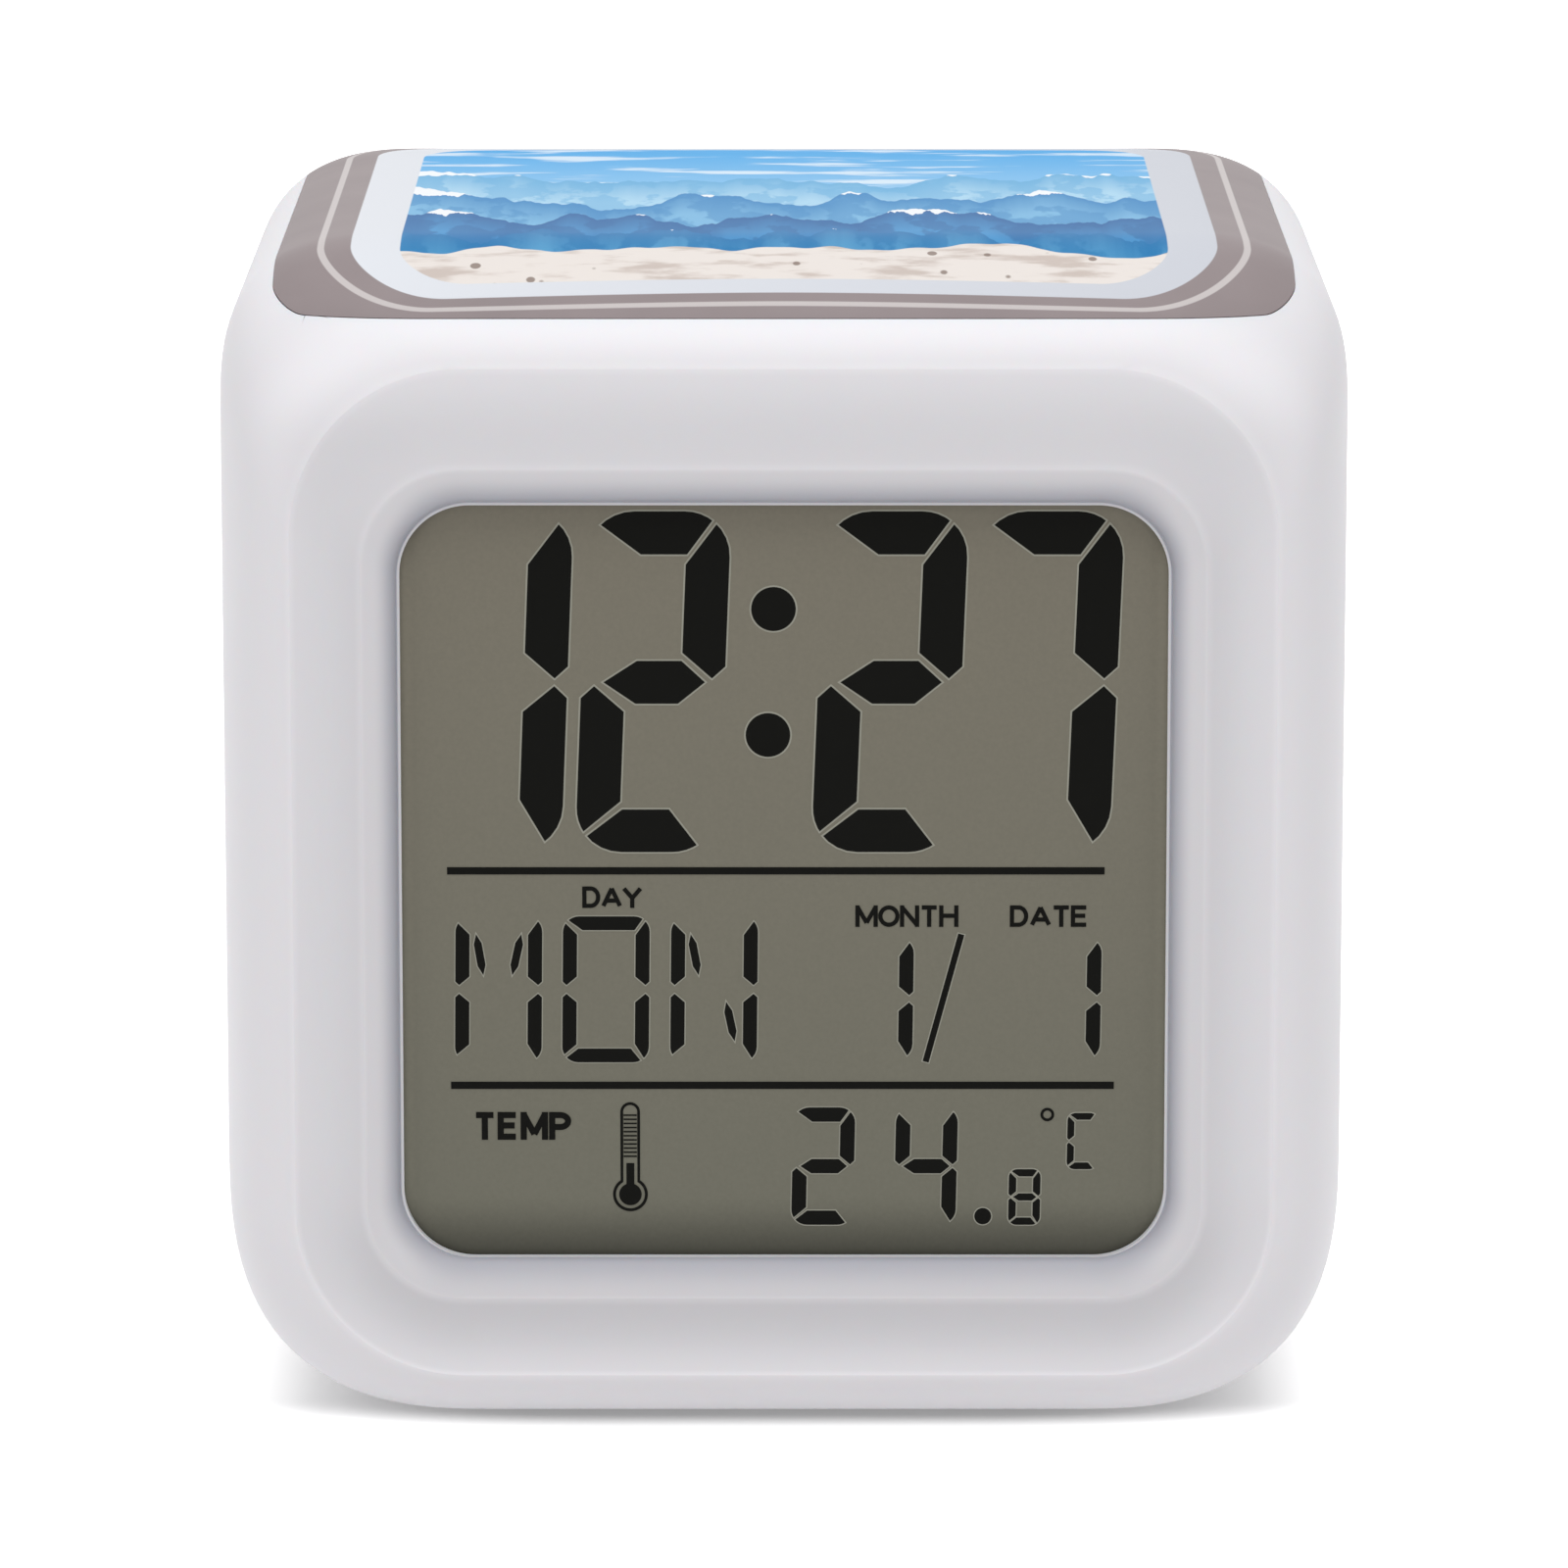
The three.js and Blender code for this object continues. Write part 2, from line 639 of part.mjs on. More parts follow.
function displayHolder() {
  const [insideWidth, insideHeight] = [cellWidth + 2 * GAP, cellHeight + 2 * GAP];
  const [width, height] = [insideWidth + 2 * HOLDER_WALL, insideHeight + 2 * HOLDER_WALL];
  const shape = roundedShape(width, height, WINDOW_CORNER, 0, WINDOW_CENTRE);
  shape.holes.push(roundedShape(insideWidth, insideHeight, WINDOW_CORNER / 2, 0, WINDOW_CENTRE));
  return slab(shape, cellY, boardY - GAP - cellY);
}
piece("lcd_holder", displayHolder(), holderBlack);

function screw(shaft, head, headThick, length, x, z, yHead, into) {
  const profile = [
    [0, yHead - into * headThick],
    [head * 0.8, yHead - into * headThick],
    [head, yHead - into * headThick * 0.5],
    [head, yHead],
    [shaft, yHead],
    [shaft, yHead + into * length],
    [0, yHead + into * (length + shaft)],
  ];
  return turned(profile, x, z, 12);
}

// Main board and what is soldered to it

function mainBoard() {
  const low = WINDOW_CENTRE - BOARD_HEIGHT / 2;
  const shape = roundedShape(boardWidth, BOARD_HEIGHT, 1.5, 0, low + BOARD_HEIGHT / 2);
  for (const [x, side] of boardPosts) {
    const hole = new THREE.Path();
    const z = WINDOW_CENTRE + side * POST_SPREAD;
    hole.absarc(x, z, SMALL_SCREW_RADIUS + GAP, 0, 2 * Math.PI);
    shape.holes.push(hole);
  }
  return slab(shape, boardY, BOARD_THICK);
}
piece("main_board", mainBoard(), boardGreen);

boardPosts.forEach(([x, side], i) => {
  const z = WINDOW_CENTRE + side * POST_SPREAD;
  const length = SMALL_SCREW_LENGTH - GAP;
  const head = [SMALL_SCREW_RADIUS, SMALL_SCREW_HEAD, SMALL_SCREW_HEAD_THICK];
  piece(`board_screw_${i + 1}`, screw(...head, length - 2 * GAP, x, z, boardBackY, -1), steel);
});

["left", "right"].forEach((side, i) => {
  const x = LED_SPREAD * (2 * i - 1);
  const domeStart = boardBackY + LED_LENGTH - LED_RADIUS;
  const profile = [[0, boardBackY], [LED_RADIUS + 0.4, boardBackY], [LED_RADIUS + 0.4, boardBackY + 1]];
  for (let step = 0; step <= 5; step += 1) {
    const angle = ((step / 5) * Math.PI) / 2;
    profile.push([LED_RADIUS * Math.cos(angle), domeStart + LED_RADIUS * Math.sin(angle)]);
  }
  profile.splice(3, 0, [LED_RADIUS, boardBackY + 1]);
  piece(`colour_led_${side}`, turned(profile, x, WINDOW_CENTRE, 14), ledClear);
});

function buzzer() {
  const [back, top] = [boardBackY, boardBackY + BUZZER_HEIGHT];
  const [hole, deep] = [BUZZER_HOLE, top - BUZZER_HOLE_DEPTH];
  const outside = [[0, back], [BUZZER_RADIUS, back], [BUZZER_RADIUS, top]];
  const profile = [...outside, [hole, top], [hole, deep], [0, deep]];
  return turned(profile, 0, WINDOW_CENTRE + BOARD_HEIGHT / 4);
}
piece("buzzer", buzzer(), epoxyBlack);

function epoxyBlob() {
  const [radius, height] = [CHIP_RADIUS, CHIP_HEIGHT];
  const profile = [[0, boardBackY], [radius, boardBackY]];
  for (let step = 1; step <= 5; step += 1) {
    const angle = ((step / 5) * Math.PI) / 2;
    profile.push([radius * Math.cos(angle), boardBackY + height * Math.sin(angle)]);
  }
  return turned(profile, 0, WINDOW_CENTRE - BOARD_HEIGHT / 6, 16);
}
piece("control_chip", epoxyBlob(), epoxyBlack);

// A small can or bead that stands on the back of the main board.
function stud(radius, length, x, z) {
  return rod(radius, boardBackY, boardBackY + length, x, z, 10);
}
piece("clock_crystal", stud(CRYSTAL_RADIUS, CRYSTAL_LENGTH, CRYSTAL_X, WINDOW_CENTRE), steel);
const thermistorZ = WINDOW_CENTRE - POST_SPREAD;
piece("thermistor", stud(THERMISTOR_RADIUS, THERMISTOR_LENGTH, THERMISTOR_X, thermistorZ), epoxyBlack);

// Back panel with its battery compartment

function circlePath(x, z, radius) {
  const path = new THREE.Path();
  path.absarc(x, z, radius, 0, 2 * Math.PI);
  return path;
}

function ringShape(ring) {
  return new THREE.Shape(ringPoints(ring, 0).map(({ x, z }) => new THREE.Vector2(x, z)));
}

const switchSlotWidth = KNOB_WIDTH + SWITCH_TRAVEL + 2 * GAP;
const tabs = [-TAB_X, TAB_X];

function backPanel() {
  const plate = ringShape(shrink(opening, GAP));
  for (const x of buttonPlaces) plate.holes.push(circlePath(x, stripZ, BUTTON_RADIUS + GAP));
  plate.holes.push(roundedShape(switchSlotWidth, KNOB_HEIGHT + 2 * GAP, GAP, SWITCH_X, stripZ));
  for (const [x, z] of panelScrews) plate.holes.push(circlePath(x, z, SCREW_RADIUS + GAP));
  for (let i = 0; i < SOUND_HOLES; i += 1) {
    const x = (i - (SOUND_HOLES - 1) / 2) * SOUND_PITCH;
    plate.holes.push(circlePath(x, screwHeights[0], SOUND_HOLE));
  }
  const strip = roundedShape(STRIP_WIDTH, STRIP_HEIGHT, STRIP_HEIGHT / 3, 0, stripZ);
  const trayShape = roundedShape(trayWidth + 2 * TRAY_WALL, trayHeight + 2 * TRAY_WALL, TRAY_WALL, 0, doorZ);
  const trayBackY = trayFloorY - TRAY_WALL;
  const tray = slab(trayShape, trayBackY, panelY + PANEL_THICK / 2 - trayBackY);
  const doorCut = roundedShape(doorWidth + 2 * GAP, doorHeight + 2 * GAP, DOOR_CORNER, 0, doorZ);
  const latchZ = doorZ + doorHeight / 2;
  const cuts = [
    slab(strip, stripY, STRIP_SINK + OVERCUT),
    slab(doorCut, doorY - GAP, DOOR_THICK + OVERCUT),
    box(trayWidth, trayDepth + OVERCUT, trayHeight, 0, trayFloorY + (trayDepth + OVERCUT) / 2, doorZ),
    box(
      LATCH_WIDTH + 2 * GAP,
      DOOR_THICK + GAP + OVERCUT,
      2 * (LATCH_REACH + GAP),
      0,
      doorY - GAP + (DOOR_THICK + GAP + OVERCUT) / 2,
      latchZ,
    ),
    ...panelScrews.map(([x, z]) => rod(SCREW_HEAD + GAP, BACK - SCREW_HEAD_THICK, BACK + OVERCUT, x, z)),
    ...tabs.map((x) => tabPocket(x)),
  ];
  const posts = [-smallPostX, smallPostX].map(
    (x) => rod(POST_RADIUS, smallBoardBack, panelY + GAP, x, stripZ),
  );
  cuts.push(
    ...[-smallPostX, smallPostX].map((x) => {
      const hole = SMALL_SCREW_RADIUS + GAP;
      return rod(hole, smallBoardBack - OVERCUT, smallBoardBack + SMALL_SCREW_LENGTH, x, stripZ, 12);
    }),
  );
  return shaped(slab(plate, panelY, PANEL_THICK), [tray, ...posts], cuts);
}

// Room for a door tab, under the edge of the door's recess.
function tabPocket(x) {
  const height = 2 * (TAB_REACH + 2 * GAP);
  const depth = DOOR_THICK + 3 * GAP;
  const low = doorZ - doorHeight / 2;
  return box(TAB_WIDTH + 2 * GAP, depth, height, x, doorY + GAP - depth / 2, low);
}

piece("back_panel", backPanel(), shellWhite);

panelScrews.forEach(([x, z], i) => {
  const head = [SCREW_RADIUS, SCREW_HEAD, SCREW_HEAD_THICK - GAP];
  piece(
    `panel_screw_${i + 1}`,
    screw(...head, PANEL_SCREW_LENGTH - 2 * SCREW_RADIUS, x, z, BACK - SCREW_HEAD_THICK, -1),
    steel,
  );
});

function batteryDoor() {
  const plate = slab(roundedShape(doorWidth, doorHeight, DOOR_CORNER, 0, doorZ), doorY, DOOR_THICK);
  const low = doorZ - doorHeight / 2;
  const thick = DOOR_THICK - 2 * GAP;
  const hooks = tabs.map((x) => {
    const height = TAB_REACH + DOOR_LEDGE;
    return box(TAB_WIDTH, thick, height, x, doorY - thick / 2, low - TAB_REACH + height / 2);
  });
  const latch = box(
    LATCH_WIDTH,
    DOOR_THICK,
    2 * LATCH_REACH,
    0,
    doorY + DOOR_THICK / 2,
    doorZ + doorHeight / 2,
  );
  const thumb = slab(
    roundedShape(LATCH_WIDTH, LATCH_WIDTH / 3, LATCH_WIDTH / 6, 0, doorZ + doorHeight / 2 - LATCH_WIDTH / 3),
    doorY + DOOR_THICK / 2,
    OVERCUT,
  );
  return shaped(plate, [...hooks, latch], [thumb]);
}
piece("battery_door", batteryDoor(), shellWhite);

// Cells, with every second one turned round, and their contacts

const cellsY = trayFloorY + GAP + CELL_RADIUS;
const cellsLeft = -(CELL_LENGTH + CELL_NUB) / 2;

function cellAndSpring(i) {
  const z = doorZ + (i - (CELLS - 1) / 2) * cellPitch;
  const flip = i % 2 === 0 ? 1 : -1;
  const shift = flip * (SPRING_SPACE / 2);
  const profile = [
    [0, cellsLeft],
    [CELL_RADIUS, cellsLeft],
    [CELL_RADIUS, cellsLeft + CELL_LENGTH],
    [CELL_NUB_RADIUS, cellsLeft + CELL_LENGTH],
    [CELL_NUB_RADIUS, cellsLeft + CELL_LENGTH + CELL_NUB],
    [0, cellsLeft + CELL_LENGTH + CELL_NUB],
  ];
  const points = profile.map(([radius, along]) => new THREE.Vector2(radius, along));
  const cell = new THREE.LatheGeometry(points, 16).rotateZ((-flip * Math.PI) / 2);
  piece(`battery_cell_${i + 1}`, cell.translate(shift, cellsY, z), cellWrap);
  const spring = coil(CELL_RADIUS * 0.7, SPRING_SPACE - 2 * GAP, 2.5);
  spring.rotateY((flip * Math.PI) / 2);
  const springX = shift + flip * (cellsLeft - SPRING_SPACE + GAP);
  piece(`battery_spring_${i + 1}`, spring.translate(springX, cellsY, z), springSteel);
}

// A wound wire spring along +Z from height 0 to the length given.
function coil(radius, length, turns) {
  const steps = Math.ceil(turns * 8);
  const sides = 5;
  const rise = length - 2 * SPRING_WIRE;
  const points = [];
  for (let step = 0; step <= steps; step += 1) {
    const angle = (2 * Math.PI * turns * step) / steps;
    const centre = new THREE.Vector3(radius * Math.cos(angle), radius * Math.sin(angle), 0);
    centre.z = SPRING_WIRE + (rise * step) / steps;
    const outward = new THREE.Vector3(Math.cos(angle), Math.sin(angle), 0);
    for (let side = 0; side < sides; side += 1) {
      const turn = (2 * Math.PI * side) / sides;
      const point = centre.clone().addScaledVector(outward, SPRING_WIRE * Math.cos(turn));
      point.z += SPRING_WIRE * Math.sin(turn);
      points.push(point);
    }
  }
  const index = [];
  for (let step = 0; step < steps; step += 1) {
    for (let side = 0; side < sides; side += 1) {
      const [a, b] = [step * sides + side, step * sides + ((side + 1) % sides)];
      index.push(a, b, a + sides, b, b + sides, a + sides);
    }
  }
  const last = steps * sides;
  for (let side = 1; side < sides - 1; side += 1) {
    index.push(0, side + 1, side);
    index.push(last, last + side, last + side + 1);
  }
  const geometry = new THREE.BufferGeometry().setFromPoints(points);
  geometry.setIndex(index);
  return geometry;
}

for (let i = 0; i < CELLS; i += 1) cellAndSpring(i);

["left", "right"].forEach((side, i) => {
  const x = (2 * i - 1) * (trayWidth / 2 - CONTACT_THICK / 2);
  const depth = 2 * CELL_RADIUS - 2 * GAP;
  piece(
    `contact_strip_${side}`,
    box(CONTACT_THICK, depth, trayHeight - 2 * GAP, x, cellsY, doorZ),
    springSteel,
  );
});

// Buttons, their board and the light switch

const tactZ = stripZ;

function tactSwitch(x) {
  const bodyY = smallBoardBack + TACT_BODY / 2;
  const base = box(TACT_SIZE, TACT_BODY, TACT_SIZE, x, bodyY, tactZ);
  const top = rod(TACT_ACTUATOR_RADIUS, smallBoardBack + TACT_BODY / 2, actuatorTop, x, tactZ, 12);
  return shaped(base, [top], []);
}

function button(x) {
  const face = BACK - GAP / 3;
  const edge = BUTTON_RADIUS / 6;
  const profile = [
    [0, stemEnd],
    [STEM_RADIUS, stemEnd],
    [STEM_RADIUS, flangeY - FLANGE_THICK],
    [BUTTON_RADIUS + FLANGE_OUT, flangeY - FLANGE_THICK],
    [BUTTON_RADIUS + FLANGE_OUT, flangeY],
    [BUTTON_RADIUS, flangeY],
    [BUTTON_RADIUS, face - edge],
    [BUTTON_RADIUS - edge * 0.3, face - edge * 0.3],
    [BUTTON_RADIUS - edge, face],
    [0, face],
  ];
  return turned(profile, x, stripZ, 2 * CORNER_STEPS + CURVE_STEPS);
}

buttonNames.forEach((name, i) => {
  piece(name, button(buttonPlaces[i]), buttonWhite);
  piece(`tact_switch_${i + 1}`, tactSwitch(buttonPlaces[i]), epoxyBlack);
});

function smallBoard() {
  const shape = roundedShape(SMALL_BOARD_WIDTH, STRIP_HEIGHT, 1, 0, stripZ);
  for (const x of [-smallPostX, smallPostX]) {
    shape.holes.push(circlePath(x, stripZ, SMALL_SCREW_RADIUS + GAP));
  }
  return slab(shape, smallBoardY, SMALL_BOARD_THICK);
}
piece("button_board", smallBoard(), boardGreen);

["left", "right"].forEach((side, i) => {
  const x = (2 * i - 1) * smallPostX;
  const head = [SMALL_SCREW_RADIUS, SMALL_SCREW_HEAD, SMALL_SCREW_HEAD_THICK];
  const length = SMALL_SCREW_LENGTH - SMALL_SCREW_RADIUS;
  piece(`button_board_screw_${side}`, screw(...head, length, x, stripZ, smallBoardY, 1), steel);
});

const [switchWidth, switchHeight, switchDepth] = SWITCH_BODY;
piece(
  "light_switch_body",
  box(switchWidth, switchDepth, switchHeight, SWITCH_X, smallBoardBack + switchDepth / 2, stripZ),
  steel,
);

function switchKnob() {
  const start = smallBoardBack + switchDepth + GAP;
  const depth = BACK - GAP - start;
  const x = SWITCH_X - SWITCH_TRAVEL / 2;
  const stem = box(KNOB_WIDTH, depth, KNOB_HEIGHT, x, start + depth / 2, stripZ);
  const ribs = [-1, 0, 1].map((i) => {
    const groove = KNOB_WIDTH / 9;
    return box(groove, groove, KNOB_HEIGHT + OVERCUT, x + (i * KNOB_WIDTH) / 3.5, BACK - GAP, stripZ);
  });
  return shaped(stem, [], ribs);
}
piece("light_switch_knob", switchKnob(), holderBlack);

// Press plate with its springs, their carrier and the press switch

function pressPlate() {
  const pad = layer(padShape(0), GRIP_THICK, flangeTop - GRIP_THICK);
  const flange = layer(padShape(PLATE_CLEARANCE + PLATE_FLANGE, PAD_CORNER), flangeZ, PLATE_FLANGE_THICK);
  return shaped(pad, [flange], []);
}
piece("press_plate", pressPlate(), shellWhite);
piece("grip_pad", layer(padShape(0), 0, GRIP_THICK), rubberGrey);

const springCorners = [[-1, -1], [1, -1], [-1, 1], [1, 1]];
springCorners.forEach(([sideX, sideY], i) => {
  const spring = coil(BASE_SPRING_RADIUS, BASE_SPRING_LENGTH, BASE_SPRING_TURNS);
  const place = [sideX * BASE_SPRING_X, PAD_Y + sideY * BASE_SPRING_Y, springZ];
  piece(`press_spring_${i + 1}`, spring.translate(...place), springSteel);
});

function springCarrier() {
  const reach = carrierPostX + CARRIER_POST_RADIUS;
  const depth = 2 * (BASE_SPRING_Y + BASE_SPRING_RADIUS + GAP);
  const shape = roundedShape(2 * reach, depth, CARRIER_POST_RADIUS, 0, PAD_Y);
  for (const [x, y] of carrierPosts) shape.holes.push(circlePath(x, y, SMALL_SCREW_RADIUS + GAP));
  return layer(shape, carrierZ, CARRIER_THICK);
}
piece("spring_carrier", springCarrier(), shellWhite);

carrierPosts.slice(0, 2).forEach(([x, y], i) => {
  const top = carrierZ + CARRIER_THICK;
  const profile = [
    [0, top + SMALL_SCREW_HEAD_THICK],
    [SMALL_SCREW_HEAD, top + SMALL_SCREW_HEAD_THICK],
    [SMALL_SCREW_HEAD, top],
    [SMALL_SCREW_RADIUS, top],
    [SMALL_SCREW_RADIUS, top - SMALL_SCREW_LENGTH + GAP],
    [0, top - SMALL_SCREW_LENGTH + GAP],
  ];
  piece(`carrier_screw_${i + 1}`, upright(profile, x, y, 12), steel);
});

function pressSwitch() {
  const base = box(TACT_SIZE, TACT_SIZE, TACT_BODY, 0, PAD_Y, carrierZ - TACT_BODY / 2);
  const low = flangeTop + PRESS_TRAVEL + GAP / 3;
  const top = carrierZ - TACT_BODY / 2;
  const radius = TACT_ACTUATOR_RADIUS;
  const pin = upright([[0, low], [radius, low], [radius, top], [0, top]], 0, PAD_Y, 12);
  return shaped(base, [pin], []);
}
piece("press_switch", pressSwitch(), epoxyBlack);

// Wiring between the boards and the battery compartment

function ribbon() {
  const [y0, y1] = [boardBackY + GAP, smallBoardY - GAP];
  const steps = 14;
  const edge = [];
  for (let step = 0; step <= steps; step += 1) {
    const t = step / steps;
    edge.push([y0 + (y1 - y0) * t, stripZ - RIBBON_SAG * 4 * t * (1 - t)]);
  }
  const outline = [
    ...edge.map(([y, z]) => new THREE.Vector2(y, z + RIBBON_THICK / 2)),
    ...edge.reverse().map(([y, z]) => new THREE.Vector2(y, z - RIBBON_THICK / 2)),
  ];
  const options = { depth: RIBBON_WIDTH, bevelEnabled: false };
  const band = new THREE.ExtrudeGeometry(new THREE.Shape(outline), options);
  band.rotateZ(Math.PI / 2).rotateY(Math.PI / 2);
  return band.translate(RIBBON_X - RIBBON_WIDTH / 2, 0, 0);
}
piece("ribbon_cable", ribbon(), ribbonGrey);

function lead(side) {
  const boardLow = WINDOW_CENTRE - BOARD_HEIGHT / 2;
  const start = new THREE.Vector3(side * LEAD_SPREAD, boardBackY + GAP, boardLow + LEAD_RISE);
  const end = new THREE.Vector3(side * LEAD_END, trayFloorY - TRAY_WALL - GAP, doorZ);
  const low = new THREE.Vector3(side * LEAD_STUB, (start.y + end.y) / 2, start.z + LEAD_SAG);
  const out = new THREE.Vector3(start.x, start.y + LEAD_STUB, start.z);
  const into = new THREE.Vector3(end.x, end.y - LEAD_STUB, end.z);
  const path = new THREE.CatmullRomCurve3([start, out, low, into, end]);
  const section = new THREE.Shape();
  section.absarc(0, 0, LEAD_RADIUS, 0, 2 * Math.PI);
  return new THREE.ExtrudeGeometry(section, { steps: 20, extrudePath: path, curveSegments: 2 });
}
piece("battery_lead_red", lead(1), leadRed);
piece("battery_lead_black", lead(-1), leadBlack);

export default clock;
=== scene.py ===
"""Cube alarm clock: a frosted moulded case, a segment display, a printed top film, and its
back, door, buttons and press plate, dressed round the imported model. Sizes below are
millimetres and become metres in put(). +Z is up and the display faces -Y."""

import math
from functools import partial

import bpy
import numpy as np
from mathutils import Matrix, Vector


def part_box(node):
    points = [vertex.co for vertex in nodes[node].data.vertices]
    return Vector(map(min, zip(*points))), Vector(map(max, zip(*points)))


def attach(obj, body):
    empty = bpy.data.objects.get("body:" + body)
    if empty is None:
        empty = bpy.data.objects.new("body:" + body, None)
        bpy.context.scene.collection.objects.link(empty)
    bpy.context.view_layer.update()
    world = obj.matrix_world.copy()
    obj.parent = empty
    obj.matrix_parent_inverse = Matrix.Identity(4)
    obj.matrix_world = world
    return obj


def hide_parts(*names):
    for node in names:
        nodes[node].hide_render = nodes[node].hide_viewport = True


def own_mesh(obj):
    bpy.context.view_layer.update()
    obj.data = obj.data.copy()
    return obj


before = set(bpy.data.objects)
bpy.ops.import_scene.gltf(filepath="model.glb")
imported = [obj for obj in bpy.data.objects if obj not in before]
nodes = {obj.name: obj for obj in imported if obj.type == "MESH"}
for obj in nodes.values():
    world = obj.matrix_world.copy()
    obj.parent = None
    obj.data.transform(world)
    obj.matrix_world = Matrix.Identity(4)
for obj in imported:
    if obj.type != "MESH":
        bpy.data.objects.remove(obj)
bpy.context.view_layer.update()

# Case
WIDTH, DEPTH, HEIGHT, LIFT, WALL = 80.0, 74.0, 85.0, 1.5, 2.0
FRONT_ROUND, BACK_ROUND = 12.0, 20.0
DISH_DEPTH, INNER_RIDGE_SINK = 0.75, 0.3
WINDOW_SIZE, WINDOW_SINK, LIP, LIP_FACE = 54.0, 1.6, 0.7, 0.25
BEVEL_WIDTH, RIDGE_DROP, RIDGE_CORNER = 2.45, 29.95, 6.9
GLASS_MARGIN, GLASS_CORNER, GLASS_THICK = 2.3, 2.1, 2.2
RIM, LEDGE, LEDGE_THICK, PANEL_THICK, GAP = 1.0, 2.0, 1.6, 2.6, 0.3
FRONT, BACK = -DEPTH / 2, DEPTH / 2
CENTRE = LIFT + HEIGHT / 2
WINDOW_Z = CENTRE - 2.3
SEAT_Y = FRONT + WINDOW_SINK + LIP
PANEL_Y = BACK - PANEL_THICK
LEDGE_Y = PANEL_Y - GAP

# Printed film on the top
FILM_HALF, FILM_DROP, FILM_BACK, FILM_THICK = 35.9, 4.5, 7.0, 0.3
FILM_FRONT_CORNER, FILM_BACK_CORNER = 2.4, 4.0
FILM_CLEARANCE = 0.06

# Back: strip of buttons, door, cells
STRIP_Z, STRIP_WIDTH, STRIP_HEIGHT, STRIP_SINK = CENTRE + 21.6, 62.0, 9.6, 1.1
BUTTON_RADIUS, BUTTON_XS = 3.0, (-21.5, -10.5, 0.5, 11.5)
SWITCH_X, SWITCH_TRAVEL, KNOB = 21.0, 2.0, 3.0
SCREW_RADIUS, SCREW_HEAD, SCREW_HEAD_THICK = 1.2, 2.2, 1.3
DOOR_Z, DOOR_THICK, DOOR_LEDGE, DOOR_CORNER = CENTRE - 9.4, 1.6, 1.0, 2.0
CELL_RADIUS, CELL_LENGTH, CELL_NUB, SPRING_SPACE, CELLS = 5.25, 43.5, 1.0, 2.8, 4
TRAY_WALL, TAB_X, TAB_WIDTH, TAB_REACH = 1.4, 15.0, 7.0, 1.2
LATCH_WIDTH, LATCH_REACH = 10.0, 1.4
HOLE_RADIUS, HOLE_PITCH, ROLL, KEY_DIP = 0.8, 3.2, 0.5, 0.22
SLEEVE_END, SPRING_WIRE = 11.0, 0.35
cell_pitch = 2 * CELL_RADIUS + GAP
tray_width = CELL_LENGTH + CELL_NUB + SPRING_SPACE + 2 * 0.4 + 2 * GAP
tray_height = CELLS * cell_pitch + GAP
tray_depth = 2 * CELL_RADIUS + 2 * GAP
door_y = BACK - DOOR_THICK
tray_floor = door_y - GAP - tray_depth
door_width, door_height = tray_width + 2 * DOOR_LEDGE, tray_height + 2 * DOOR_LEDGE
door_low, door_high = DOOR_Z - door_height / 2, DOOR_Z + door_height / 2
cells_y = tray_floor + GAP + CELL_RADIUS

# Press plate
PAD_WIDTH, PAD_DEPTH, PAD_CORNER, PAD_Y, GRIP_THICK = 46.0, 40.0, 6.0, -2.5, 0.8
PLATE_CLEARANCE, PLATE_FLANGE, PLATE_FLANGE_THICK = 0.5, 1.2, 1.2

# Studio: half the floor's width, then the camera
FLOOR_HALF, FOCAL, VIEW_DISTANCE, VIEW_HEIGHT, VIEW_TILT = 3000.0, 9565, 646.0, 178.05, 0.197

SQUARE = np.array([[-1.0, -1.0], [1.0, -1.0], [1.0, 1.0], [-1.0, 1.0]])

# A ring is a rounded square: half width, top, bottom, top corner, bottom corner, corner power.
BODY = np.array([WIDTH / 2, CENTRE + HEIGHT / 2, CENTRE - HEIGHT / 2, 12.2, 18.8, 2.7])
OUTER_RIDGE = np.array([BODY[0] - 5.4, BODY[1] - 7.9, BODY[2] + 4.7, 12.0, 12.0, 2.0])
BEVEL_FOOT = np.array([27.25, WINDOW_Z + 27.25, WINDOW_Z - 27.25, 5.2, 5.1, 2.0])
WINDOW = BEVEL_FOOT - [LIP_FACE, LIP_FACE, -0.03, LIP_FACE, 0.03, 0.0]
REAR = np.array([BODY[0] - 5.5, BODY[1] - 6.0, BODY[2] + 6.0, 9.0, 9.0, 2.0])


# Shapes as arrays


def shrink(ring, by):
    """The ring moved in by a distance on every side, its corners smaller by as much."""
    corners = np.maximum(ring[3:5] - by, by / 2)
    return np.array([ring[0] - by, ring[1] - by, ring[2] + by, *corners, ring[5]])


def blend(a, b, t):
    """Rings between a and b, in proportion to t."""
    return a + (b - a) * np.atleast_1d(t)[:, None]


def ring_points(rings, steps=24):
    """X and Z round each ring. A corner point is its radius times cos^(2/p) and sin^(2/p)."""
    r = np.atleast_2d(rings)
    turn = (np.arange(4)[:, None] + np.linspace(0, 1, steps + 1)) * math.pi / 2
    side = np.array([1, -1, -1, 1])[None, :, None]
    upper = np.array([True, True, False, False])[None, :, None]
    half, top, low, top_r, low_r, power = (r[:, i, None, None] for i in range(6))
    radius = np.where(upper, top_r, low_r)
    across = radius * np.abs(np.cos(turn)) ** (2 / power)
    along = radius * np.abs(np.sin(turn)) ** (2 / power)
    x = side * (half - radius + across)
    z = np.where(upper, top - radius + along, low + radius - along)
    return x.reshape(len(r), -1), z.reshape(len(r), -1)


